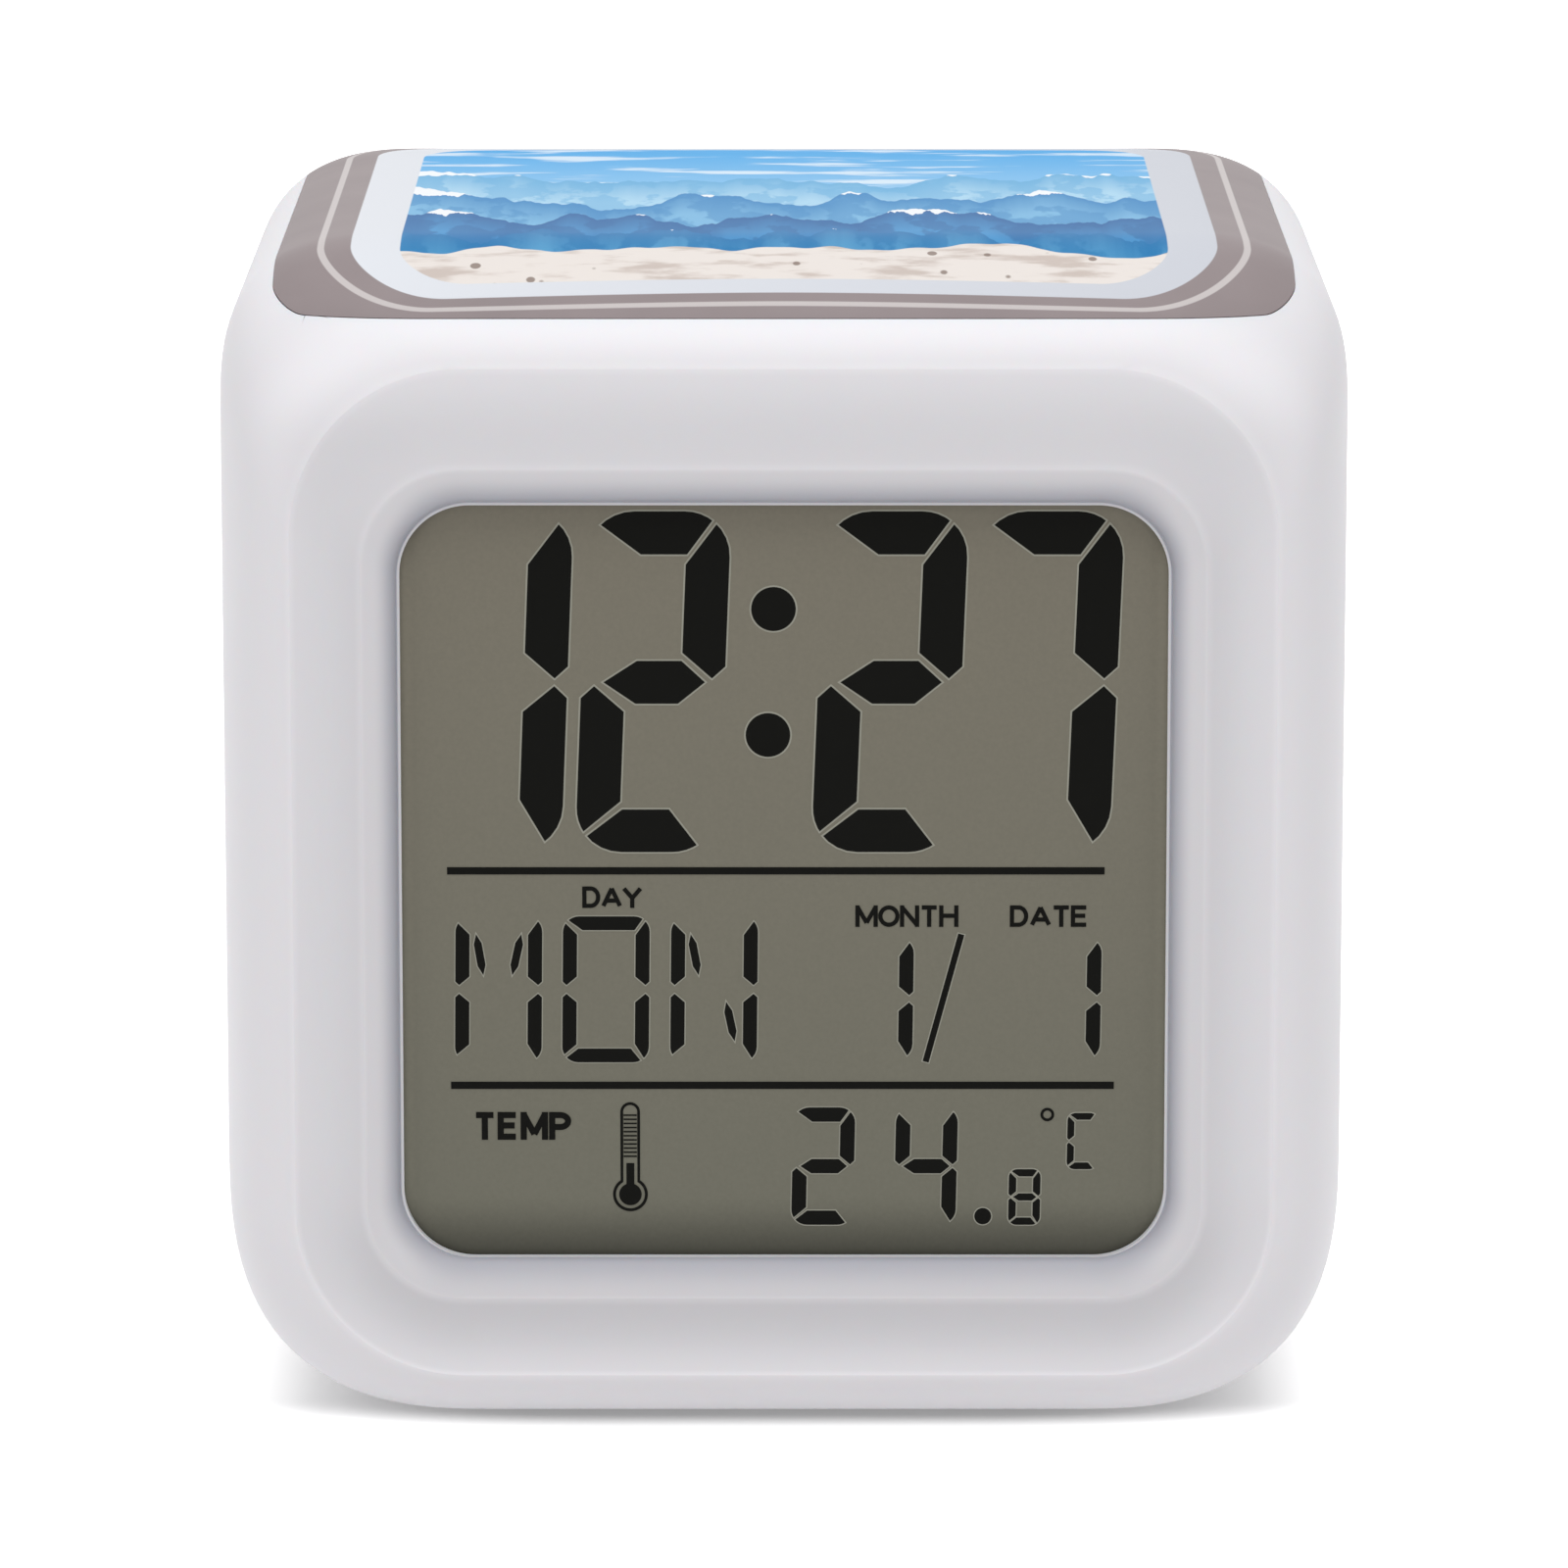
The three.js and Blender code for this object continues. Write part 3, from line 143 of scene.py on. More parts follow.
def rounded_edge(a, b, y0, y1, steps):
    """A quarter ellipse of rings: the ring moves as 1 - cos of the angle and y as its sine."""
    angle = np.linspace(0, math.pi / 2, steps + 1)
    return blend(a, b, 1 - np.cos(angle)), y0 + (y1 - y0) * np.sin(angle)


def grid_faces(rows, columns, close_rows=False, close_columns=False):
    """Squares of a grid of points, which may join up with itself either way."""
    i = np.arange(rows if close_rows else rows - 1)[:, None]
    j = np.arange(columns if close_columns else columns - 1)[None, :]
    a, b = i * columns + j, i * columns + (j + 1) % columns
    c, d = ((i + 1) % rows) * columns + (j + 1) % columns, ((i + 1) % rows) * columns + j
    return np.stack([a, b, c, d], -1).reshape(-1, 4)


def skin(loops, closed=False):
    """A skin over a stack of loops (stations, points, 3), with flat ends or joined in a ring."""
    rows, columns = loops.shape[:2]
    faces = [grid_faces(rows, columns, closed, True)]
    if not closed:
        faces += [np.arange(columns)[None, ::-1], np.arange(columns)[None] + (rows - 1) * columns]
    return loops.reshape(-1, 3), faces


def facing(u, v, w, axis):
    """Points from two coordinates of a flat shape and one along its thickness axis."""
    order = {"y": (u, w, v), "z": (u, v, w), "x": (w, u, v)}[axis]
    return np.stack(np.broadcast_arrays(*order), -1)


def plate(size, corner, middle, span, axis="y", edges=(0.0, 0.0), steps=10):
    """A rounded rectangle with thickness, its two rims turned over by small quarter circles."""
    ring = np.array([size[0] / 2, size[1] / 2, -size[1] / 2, corner, corner, 2.0])
    rings, depth = [], []
    for end, edge, inward in ((span[0], edges[0], 1), (span[1], edges[1], -1)):
        turn = np.linspace(0, math.pi / 2, 5) if edge else np.array([math.pi / 2])
        turn = turn if inward > 0 else turn[::-1]
        rings += [shrink(ring, edge * (1 - math.sin(t))) if edge else ring for t in turn]
        depth += [end + inward * edge * (1 - math.cos(t)) for t in turn]
    u, v = ring_points(np.array(rings), steps)
    return skin(facing(u + middle[0], v + middle[1], np.array(depth)[:, None], axis))


def turned(profile, middle, axis="y", steps=48):
    """A profile of (radius, place along the axis) turned round it. Its ends are on the axis."""
    p = np.asarray(profile, float)
    turn = np.linspace(0, 2 * math.pi, steps, endpoint=False)
    body = p[1:-1]
    u = middle[0] + body[:, :1] * np.cos(turn)
    v = middle[1] + body[:, :1] * np.sin(turn)
    rim = facing(u, v, body[:, 1:], axis).reshape(-1, 3)
    poles = facing(*(np.full(2, m) for m in middle), p[[0, -1], 1], axis)
    n, ring = len(rim), np.arange(steps)
    last = n - steps + ring
    fans = [
        np.stack([np.full(steps, n), np.roll(ring, -1), ring], 1),
        np.stack([np.full(steps, n + 1), last, np.roll(last, -1)], 1),
    ]
    return np.concatenate([rim, poles]), [grid_faces(len(body), steps, False, True), *fans]


def prism(outline, span, axis="y"):
    """A flat outline of (u, v) points carried along an axis."""
    o = np.asarray(outline, float)
    return skin(np.stack([facing(o[:, 0], o[:, 1], np.full(len(o), w), axis) for w in span]))


def coil(radius, wire, length, turns, middle, axis, start, sides=10, per_turn=36):
    """A wire on a helix: the section circle stands on the outward line and the axis."""
    t = np.linspace(0, 1, int(turns * per_turn))[:, None]
    a, s = 2 * math.pi * turns * t, np.linspace(0, 2 * math.pi, sides, endpoint=False)
    reach = radius + wire * np.cos(s)
    end = np.sign(length) * wire
    along = start + end + (length - 2 * end) * t + wire * np.sin(s)
    return skin(facing(middle[0] + reach * np.cos(a), middle[1] + reach * np.sin(a), along, axis))


def join(*shapes):
    """Several shapes as one list of points and faces."""
    points, faces, count = [], [], 0
    for p, f in shapes:
        points.append(p)
        faces += [part + count for part in f]
        count += len(p)
    return np.concatenate(points), faces


def outward(points, faces):
    """The faces, turned round if the volume under them comes out negative."""
    total = 0.0
    for f in faces:
        a, b, c = points[f[:, 0], None], points[f[:, 1:-1]], points[f[:, 2:]]
        total += np.einsum("ijk,ijk->", np.broadcast_to(a, b.shape), np.cross(b, c))
    return faces if total > 0 else [f[:, ::-1] for f in faces]


def fill(mesh, points, faces):
    """Puts arrays of points, in millimetres, and faces into a mesh, in metres."""
    corners = np.concatenate([f.ravel() for f in faces]).astype(np.int32)
    sizes = np.concatenate([np.full(len(f), f.shape[1]) for f in faces])
    starts = np.concatenate([[0], np.cumsum(sizes)[:-1]]).astype(np.int32)
    mesh.vertices.add(len(points))
    mesh.vertices.foreach_set("co", (points / 1000).astype(np.float32).ravel())
    mesh.loops.add(len(corners))
    mesh.loops.foreach_set("vertex_index", corners)
    mesh.polygons.add(len(sizes))
    mesh.polygons.foreach_set("loop_start", starts)
    mesh.update(calc_edges=True)
    return mesh


def new_object(name, data):
    """A new object of some data, in the scene."""
    thing = bpy.data.objects.new(name, data)
    bpy.context.scene.collection.objects.link(thing)
    return thing


def raw(name, shape):
    """An object of a shape, with its faces outwards."""
    points, faces = shape
    return new_object(name, fill(bpy.data.meshes.new(name), points, outward(points, faces)))


def settle(thing):
    """Applies an object's modifiers to its mesh."""
    view = bpy.context.evaluated_depsgraph_get()
    done = bpy.data.meshes.new_from_object(thing.evaluated_get(view))
    thing.modifiers.clear()
    thing.data = done


def carve(thing, shapes, operation="DIFFERENCE"):
    """Cuts shapes from an object, or joins them to it."""
    tools = [raw("tool", shape) for shape in shapes]
    for tool in tools:
        step = thing.modifiers.new("carve", "BOOLEAN")
        step.object, step.operation, step.solver, step.use_self = tool, operation, "EXACT", True
    settle(thing)
    for tool in tools:
        bpy.data.objects.remove(tool)
    return thing


def soften(thing, width, segments=2):
    """Rolls an object's sharp edges over and keeps its flats flat."""
    step = thing.modifiers.new("roll", "BEVEL")
    step.limit_method, step.angle_limit = "ANGLE", math.radians(38)
    step.width, step.segments = width / 1000, segments
    step.use_clamp_overlap = True
    settle(thing)
    return thing


def put(thing, material, body, slot, *stood_for, sharp=35):
    """Finishes a piece: its shading, material, body and the CAD nodes it stands for. Its slot is
    not used.
    """
    if not isinstance(thing, bpy.types.Object):
        thing = raw(*thing)
    thing.data.materials.clear()
    thing.data.materials.append(material)
    thing.data.polygons.foreach_set("use_smooth", np.ones(len(thing.data.polygons), bool))
    thing.data.set_sharp_from_angle(angle=math.radians(sharp))
    even = thing.modifiers.new("flats", "WEIGHTED_NORMAL")
    even.keep_sharp = True
    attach(thing, body)
    if stood_for:
        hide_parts(*stood_for)
    return thing


# Materials

MATH, VECTOR, RANGE = "ShaderNodeMath", "ShaderNodeVectorMath", "ShaderNodeMapRange"
MIX, NOISE, PLACE = "ShaderNodeMix", "ShaderNodeTexNoise", "ShaderNodeTexCoord"
SPLIT, COMBINE, MAP = "ShaderNodeSeparateXYZ", "ShaderNodeCombineXYZ", "ShaderNodeUVMap"
SMOOTH, COLOUR = {"interpolation_type": "SMOOTHSTEP"}, {"data_type": "RGBA"}
MINUS, TIMES, OVER, TIMES_PLUS, ABS, MAX, LENGTH, SCALE = (
    {"operation": name}
    for name in "SUBTRACT MULTIPLY DIVIDE MULTIPLY_ADD ABSOLUTE MAXIMUM LENGTH SCALE".split()
)


def linear(colour, alpha=1.0):
    """An sRGB hex number as linear red, green, blue and alpha."""
    parts = [((colour >> shift) & 255) / 255 for shift in (16, 8, 0)]
    return (*[c / 12.92 if c <= 0.04045 else ((c + 0.055) / 1.055) ** 2.4 for c in parts], alpha)


def feed(node, key, value):
    """Gives an input a value, a socket, or the first working output of a node."""
    if isinstance(value, bpy.types.Node):
        value = next(output for output in value.outputs if output.enabled)
    if isinstance(value, bpy.types.NodeSocket):
        node.id_data.links.new(value, node.inputs[key])
    else:
        node.inputs[key].default_value = value


def add_node(tree, kind, inputs=(), **settings):
    """A node with its settings. Inputs come by name, or in order over those that work."""
    node = tree.nodes.new(kind)
    for name, value in settings.items():
        setattr(node, name, value)
    working = [i for i, socket in enumerate(node.inputs) if socket.enabled]
    for key, value in inputs.items() if isinstance(inputs, dict) else zip(working, inputs):
        feed(node, key, value)
    return node


def inks(made):
    """A material's shader, and add_node for the material's tree."""
    made.use_nodes = True
    return made.node_tree.nodes["Principled BSDF"], partial(add_node, made.node_tree)


def finish(name, colour, roughness, grain_mm=0.15, depth_mm=0.004, vary=0.03, **sockets):
    """A surface of one colour with a fine grain. A noise cell is four grains wide and its three
    finer octaves reach the grain, which gives the bump. Clouds 11 mm wide shift the colour and
    the gloss a little, as flow and handling do."""
    made = bpy.data.materials.new(name)
    shader, add = inks(made)
    place = add(PLACE).outputs["Object"]
    grain = add(NOISE, {"Vector": place, "Scale": 1000 / (4 * grain_mm), "Detail": 3.0})
    cloud = add(NOISE, {"Vector": place, "Scale": 1000 / 11, "Detail": 2.0})
    bump = add("ShaderNodeBump", {"Height": grain, "Strength": 0.6, "Distance": depth_mm / 1000})
    base = linear(colour)
    dark = (*[c * (1 - vary) for c in base[:3]], 1.0)
    tint = add(MIX, (cloud, dark, base), **COLOUR)
    gloss = add(RANGE, (cloud, 0.0, 1.0, roughness * 0.9, roughness * 1.1))
    fed = {"Base_Color": tint, "Roughness": gloss, "Normal": bump, **sockets}
    for socket, value in fed.items():
        feed(shader, socket.replace("_", " "), value)
    return made


# Injection-moulded ABS with a spark-eroded satin: soft milky white with no sharp glints, and
# light goes a little way in. Its real pits are 0.04 mm, too fine to show, and are drawn 0.25 mm.
milky = {"Subsurface_Weight": 0.12, "Subsurface_Scale": 0.002}
case_abs = finish(
    "frosted_moulded_abs_case", 0xE9E7EB, 0.5, 0.25, 0.003, 0.01, Specular_IOR_Level=0.3, **milky
)
frosted_abs = finish("frosted_moulded_abs", 0xE6E5EA, 0.46, 0.25, 0.003, 0.012, **milky)


def paint_bezel_light_and_shade(made):
    """Painted light and shade on the milky bezel, from the map "bezel" round the display: 6 to 5
    across the window's lip, 4 on the inner ridge, 3 on the outer ridge, 2 on the cube's side and 0
    on all else. Painted shade darkens the colour towards the window's recess, and painted
    highlights run along both ridges. The lower part of the dish has a little painted shade, and
    the face is painted paler towards the top, as if lit from above."""
    shader, add = inks(made)
    base = shader.inputs["Base Color"].links[0].from_socket
    out = add(SPLIT, (add(MAP, uv_map="bezel"),)).outputs["X"]
    level = add(SPLIT, (add(PLACE).outputs["Object"],)).outputs["Z"]
    # Painted shade towards the window's recess. It spreads 1.6 times as wide below the window and
    # 1.3 times as wide above it, and the lip's face is left out of it.
    below = add(RANGE, (level, 0.0117, 0.0155, 1.6, 1.0), **SMOOTH)
    above = add(RANGE, (level, 0.0675, 0.0700, 1.0, 1.3), **SMOOTH)
    spread = add(MATH, (below, above), **TIMES)
    gap = add(MATH, (5.0, out), **MINUS)
    away = add(MATH, (gap, spread), **OVER)
    wall = add(RANGE, (away, -0.07, 0.64), **SMOOTH)
    lip = add(RANGE, (out, 5.1, 5.5), **SMOOTH)
    clear = add(MATH, (wall, lip), **MAX)
    tint = add(MIX, (clear, linear(0xB9BAC4), base), **COLOUR)
    # Painted shade over the bevel and the dish, 15% at most, gone halfway over the front rounding.
    tone = add(RANGE, (gap, 0.93, 2.5, 0.85, 1.0), **SMOOTH)
    # Painted highlights along the inner ridge (4) and the outer ridge (3).
    for place, half, highlight_gain in ((4.0, 0.11, 1.05), (3.0, 0.09, 1.04)):
        off = add(MATH, (add(MATH, (out, place), **MINUS),), **ABS)
        line = add(RANGE, (off, 0.0, half, highlight_gain, 1.0), **SMOOTH)
        tone = add(MATH, (tone, line), **TIMES)
    # Painted shade in the dish, 6% deep up to 12 mm high and gone by 22 mm.
    into = add(RANGE, (out, 3.0, 3.07), **SMOOTH)
    out_of = add(RANGE, (out, 3.88, 4.0, 1.0, 0.0), **SMOOTH)
    low = add(RANGE, (level, 0.012, 0.022, 0.06, 0.0), **SMOOTH)
    dish = add(MATH, (add(MATH, (into, out_of), **TIMES), low), **TIMES)
    kept = add(MATH, (1.0, dish), **MINUS)
    tone = add(MATH, (tone, kept), **TIMES)
    # Painted light from above: the front grows up to 13% paler between 72.5 and 79 mm high.
    high = add(RANGE, (level, 0.0725, 0.079, 0.0, 0.13), **SMOOTH)
    face = add(RANGE, (out, 2.3, 2.8), **SMOOTH)
    glow = add(MATH, (high, face, 1.0), **TIMES_PLUS)
    tone = add(MATH, (tone, glow), **TIMES)
    done = add(VECTOR, (tint, tone), **SCALE)
    feed(shader, "Base Color", done)


paint_bezel_light_and_shade(case_abs)
# The same ABS polished in the mould, so keys shine a little more than the case.
key_abs = finish("polished_abs_keys", 0xE2E2E6, 0.32, 0.3, 0.001, 0.02)
# Silicone rubber, moulded matt: dark, dry-looking, with a powdery bloom.
silicone = finish("moulded_silicone_rubber", 0x6B6B70, 0.82, 0.2, 0.01, 0.08)
# Zinc-plated steel screws: bright blue-grey, with a faint spangle.
zinc = finish("zinc_plated_steel", 0xC3C5C8, 0.28, 0.4, 0.002, 0.1, Metallic=1.0)
# Nickel-plated spring wire and strip: warmer and sharper in its reflections than zinc.
nickel = finish("nickel_plated_spring_steel", 0xCFCBC2, 0.2, 0.3, 0.001, 0.06, Metallic=1.0)
# Glass-epoxy board under green solder mask: glossy green over a weave of 0.6 mm, faintly seen.
solder_mask = finish("solder_masked_board", 0x1F5A34, 0.4, 0.6, 0.004, 0.15)
# Black epoxy and ABS, moulded: near black with a dull sheen.
black_mould = finish("moulded_black_plastic", 0x1C1C1F, 0.45, 0.3, 0.004, 0.1)
# Cast acrylic, opal: even white that hides what lies behind it.
opal_acrylic = finish("opal_acrylic", 0xF2F2F0, 0.5, 0.4, 0.001, 0.01)
# Layered conductive elastomer: dusty pink and soft.
zebra_rubber = finish("conductive_elastomer", 0xD08C96, 0.75, 0.25, 0.006, 0.1)
# Clear epoxy lens of a light-emitting diode, cast: water-clear and shiny.
led_epoxy = finish("clear_led_epoxy", 0xEAF2F6, 0.1, 0.5, 0.0005, 0.02, Transmission_Weight=0.7)
# Extruded PVC sleeves of hook-up wire: smooth, waxy colour.
red_wire = finish("red_pvc_wire", 0xB03030, 0.42, 0.3, 0.002, 0.05)
black_wire = finish("black_pvc_wire", 0x1E1E20, 0.42, 0.3, 0.002, 0.05)
# Extruded PVC flat cable: pale grey, a little duller than the wires.
ribbon_pvc = finish("grey_ribbon_pvc", 0xB8BCC0, 0.45, 0.3, 0.002, 0.06)
# Printed shrink sleeve round a dry cell: graphite with a satin sheen, and a coppery end.
sleeve = finish("printed_cell_sleeve", 0x3B4550, 0.3, 0.3, 0.001, 0.08)
copper_sleeve = finish("copper_coloured_sleeve", 0xB4713C, 0.28, 0.3, 0.001, 0.06, Metallic=0.85)


def lcd_polariser():
    """Etched polarising film over the liquid crystal: matt grey-green, a shade darker and greener
    towards the bottom, with a painted shadow along the window's lower edge and painted light
    within a millimetre of its sides. Its etching is finer than shows, and is drawn as a speckle
    of 0.3 mm."""
    made = finish("etched_lcd_polariser", 0x87867A, 0.5, 0.12, 0.002, 0.0, Specular_IOR_Level=0.12)
    shader, add = inks(made)
    place = add(PLACE).outputs["Object"]
    split = add(SPLIT, (place,))
    side, high, low = (WINDOW[i] / 1000 for i in range(3))
    share = add(RANGE, (split.outputs["Z"], low, high))
    shade = add(MIX, (share, linear(0x737266), linear(0x7E796C)), **COLOUR)
    speck = add(NOISE, {"Vector": place, "Scale": 1000 / 0.3, "Detail": 2.0})
    level = add(RANGE, (speck, 0.0, 1.0, 0.93, 1.07))
    # Painted shadow over the last 4.5 mm above the window's lower edge, and painted light within a
    # millimetre of its sides.
    lower_edge_shadow = add(RANGE, (split.outputs["Z"], low, low + 0.0045, 0.48, 1.0), **SMOOTH)
    across = add(MATH, (split.outputs["X"],), **ABS)
    side_edge_light = add(RANGE, (across, side - 0.001, side, 1.0, 1.3), **SMOOTH)
    level = add(MATH, (add(MATH, (level, lower_edge_shadow), **TIMES), side_edge_light), **TIMES)
    mixed = add(VECTOR, (shade, level), **SCALE)
    feed(shader, "Base Color", mixed)
    return made


polariser = lcd_polariser()
# Switched liquid crystal: near black, matt under the film.
segment_dark = finish(
    "dark_lcd_segments", 0x131311, 0.55, 0.3, 0.0005, 0.05, Specular_IOR_Level=0.04
)
# The unswitched seal line round each segment, paler than the field.
segment_edge = finish(
    "pale_lcd_electrode_edges", 0x9D9C90, 0.5, 0.3, 0.0005, 0.03, Specular_IOR_Level=0.12
)


def crest(add, x, base, swing, rate, seed, detail):
    """A ridge line over x: base + swing times 1D noise of rate x + seed."""
    place = add(MATH, (x, rate, seed), **TIMES_PLUS)
    rough = add(NOISE, {"W": place, "Scale": 1.0, "Detail": detail}, noise_dimensions="1D")
    return add(MATH, (rough, swing, base), **TIMES_PLUS)


def patches(add, uv, scale, stretch, detail, edge, soft, strength):
    """Cloudy patches: stretched noise, cut off at an edge value over a soft width."""
    place = add("ShaderNodeMapping", {"Vector": uv, "Scale": stretch})
    rough = add(NOISE, {"Vector": place, "Scale": scale, "Detail": detail})
    return add(RANGE, (rough, edge - soft, edge + soft, 0.0, strength), **SMOOTH)


def distance_past(add, ways):
    """How far a point lies past a rectangle. A way gives the point's place, the middle, the half
    size and a rate: what |place - middle| has over the half size, times the rate."""
    parts = []
    for place, middle, half, rate in ways:
        size = add(MATH, (add(MATH, (place, middle), **MINUS),), **ABS)
        past = add(MATH, (size, half), **MINUS)
        parts.append(add(MATH, (add(MATH, (past, rate), **TIMES), 0.0), **MAX))
    return add(VECTOR, (add(COMBINE, parts),), **LENGTH)


def outside(add, x, s, half, front, back, corner):
    """1 outside a rounded rectangle and 0 inside it, from the distance to its corner circles."""
    along = (s, (front + back) / 2, (back - front) / 2 - corner, 1.0)
    away = distance_past(add, ((x, 0.0, half - corner, 1.0), along))
    return add(RANGE, (away, corner - 0.05, corner + 0.05), **SMOOTH)


def film_print():
    """Glossy printed vinyl: flat bright inks under a clear coat. A taupe mount with a fine line
    and a pale bevel holds a picture of layered hills. A point belongs to a hill if it lies in
    front of that hill's ridge line. Colours run from sand through deep and pale blues to sky."""
    made = bpy.data.materials.new("printed_vinyl_film")
    shader, add = inks(made)
    uv = add(MAP, uv_map="film_mm").outputs["UV"]
    split = add(SPLIT, (uv,))
    x, s = split.outputs["X"], split.outputs["Y"]
    # Sky, with long thin clouds
    share = add(RANGE, (s, 24.0, 58.0))
    picture = add(MIX, (share, linear(0x9CCBEA), linear(0x2BA0E0)), **COLOUR)
    cloud = patches(add, uv, 0.16, (0.5, 2.2, 1.0), 4.0, 0.58, 0.06, 0.75)
    picture = add(MIX, (cloud, picture, linear(0xE8F1F7)), **COLOUR)
    # Hills from far to near: height, swing, rate, seed, colour at the crest, colour below it
    hills = (
        (24.0, 34.0, 0.060, 3.1, 0x5FA9D6, 0xA9D2EA),
        (15.0, 30.0, 0.085, 17.7, 0x2E83BD, 0x76B3DA),
        (8.0, 24.0, 0.11, 41.3, 0x14609C, 0x3F8FC6),
        (4.0, 16.0, 0.15, 63.9, 0x1B73AC, 0x69AED6),
    )
    for base, swing, rate, seed, near, far in hills:
        ridge = crest(add, x, base, swing, rate, seed, 5.0)
        depth = add(MATH, (ridge, s), **MINUS)
        inside = add(RANGE, (depth, -0.08, 0.08), **SMOOTH)
        share = add(RANGE, (depth, 0.0, 11.0))
        tone = add(MIX, (share, linear(near), linear(far)), **COLOUR)
        facet = patches(add, uv, 0.32, (1.0, 0.4, 1.0), 4.0, 0.5, 0.03, 0.6)
        tone = add(MIX, (facet, tone, linear(near)), **COLOUR)
        snow_line = crest(add, x, base + swing * 0.47, 7.0, rate * 7, seed, 3.0)
        over = add(MATH, (s, snow_line), **MINUS)
        snow = add(RANGE, (over, -0.15, 0.15, 0.0, 0.95), **SMOOTH)
        tone = add(MIX, (snow, tone, linear(0xF4F6F8)), **COLOUR)
        picture = add(MIX, (inside, picture, tone), **COLOUR)
    # Sand in front, with darker drifts and small stones
    drift = patches(add, uv, 0.35, (0.5, 2.0, 1.0), 5.0, 0.56, 0.08, 1.0)
    sand = add(MIX, (drift, linear(0xE4DDD8), linear(0xC9BDB6)), **COLOUR)
    stones = add("ShaderNodeTexVoronoi", {"Vector": uv, "Scale": 0.42, "Randomness": 1.0})
    pebble = add(RANGE, (stones.outputs["Distance"], 0.14, 0.18, 0.8, 0.0), **SMOOTH)
    sand = add(MIX, (pebble, sand, linear(0x7C6A60)), **COLOUR)
    shore = crest(add, x, 5.8, 4.5, 0.11, 88.0, 2.0)
    before = add(MATH, (shore, s), **MINUS)
    inside = add(RANGE, (before, -0.06, 0.06), **SMOOTH)
    picture = add(MIX, (inside, picture, sand), **COLOUR)
    # Pale bevel, taupe mount and its fine line
    share = add(RANGE, (x, -30.0, 30.0))
    bevel = add(MIX, (share, linear(0xDDE0E6), linear(0xC9CCD4)), **COLOUR)
    fibre = add(NOISE, {"Vector": uv, "Scale": 0.12, "Detail": 3.0})
    mount = add(MIX, (fibre, linear(0x9C9192), linear(0x8D8384)), **COLOUR)
    within = outside(add, x, s, 32.4, 1.4, 63.0, 8.0)
    beyond = outside(add, x, s, 32.9, 1.0, 63.5, 8.3)
    fine = add(MATH, (add(MATH, (within, beyond), **MINUS), 0.7), **TIMES)
    for share, ink in (
        (outside(add, x, s, 27.0, 3.6, 58.5, 5.0), bevel),
        (outside(add, x, s, 30.5, 2.2, 61.5, 7.0), mount),
        (fine, linear(0xD9D3D2)),
    ):
        picture = add(MIX, (share, picture, ink), **COLOUR)
    feed(shader, "Roughness", 0.42)
    feed(shader, "Specular IOR Level", 0.06)
    feed(shader, "Base Color", picture)
    return made


printed_film = film_print()


# Case

cavity = shrink(BODY, WALL)
opening = shrink(REAR, RIM)
ledge = shrink(opening, LEDGE)
inner_ridge = shrink(BEVEL_FOOT, -BEVEL_WIDTH)
inner_ridge[2:5] = [WINDOW_Z - RIDGE_DROP, RIDGE_CORNER, RIDGE_CORNER]


def case_shape():
    """Rings from the window out over its lip and the dished bezel, round the outside to the rear
    opening, and back along the inside. The dish sinks as a half sine between its ridges. Also
    gives each point's place in the map "bezel"."""
    t = ((1 - np.cos(np.linspace(0, math.pi, 25))) / 2)[1:-1]
    dish = FRONT + INNER_RIDGE_SINK * (1 - t) + DISH_DEPTH * np.sin(math.pi * t)
    bevel = rounded_edge(BEVEL_FOOT, inner_ridge, FRONT + WINDOW_SINK, FRONT + INNER_RIDGE_SINK, 16)
    front = rounded_edge(BODY, OUTER_RIDGE, FRONT + FRONT_ROUND, FRONT, 22)
    inside, inside_y = rounded_edge(BODY, REAR, BACK - BACK_ROUND, BACK, 24)
    inside, inside_y = np.array([shrink(r, WALL) for r in inside[:17]])[::-1], inside_y[:17][::-1]
    inner_front = shrink(OUTER_RIDGE, WALL)
    bezel_back = rounded_edge(cavity, inner_front, FRONT + FRONT_ROUND, SEAT_Y, 14)
    flat = [(opening, BACK), (opening, LEDGE_Y), (ledge, LEDGE_Y), (ledge, LEDGE_Y - LEDGE_THICK)]
    parts = [
        (WINDOW[None], np.array([FRONT + WINDOW_SINK]), np.array([6.0])),
        (*bevel, 4 + np.cos(np.linspace(0, math.pi / 2, 17))),
        (blend(inner_ridge, OUTER_RIDGE, t), dish, 4 - t),
        (front[0][::-1], front[1][::-1], 3 - np.cos(np.linspace(0, math.pi / 2, 23))[::-1]),
        (*rounded_edge(BODY, REAR, BACK - BACK_ROUND, BACK, 26), np.zeros(27)),
        (np.array([r for r, y in flat]), np.array([y for r, y in flat]), np.zeros(4)),
        (inside, inside_y, np.zeros(17)),
        (*bezel_back, np.zeros(15)),
        (WINDOW[None], np.array([SEAT_Y]), np.array([6.0])),
    ]
    rings, y, out = (np.concatenate([p[i] for p in parts]) for i in range(3))
    x, z = ring_points(rings)
    return skin(facing(x, z, y[:, None], "y"), closed=True), np.repeat(out, x.shape[1])


def give_map(thing, name, places):
    """A UV map from one place (u, v) for each point."""
    corners = np.zeros(len(thing.data.loops), np.int32)
    thing.data.loops.foreach_get("vertex_index", corners)
    layer = thing.data.uv_layers.new(name=name)
    layer.data.foreach_set("uv", places.astype(np.float32)[corners].ravel())


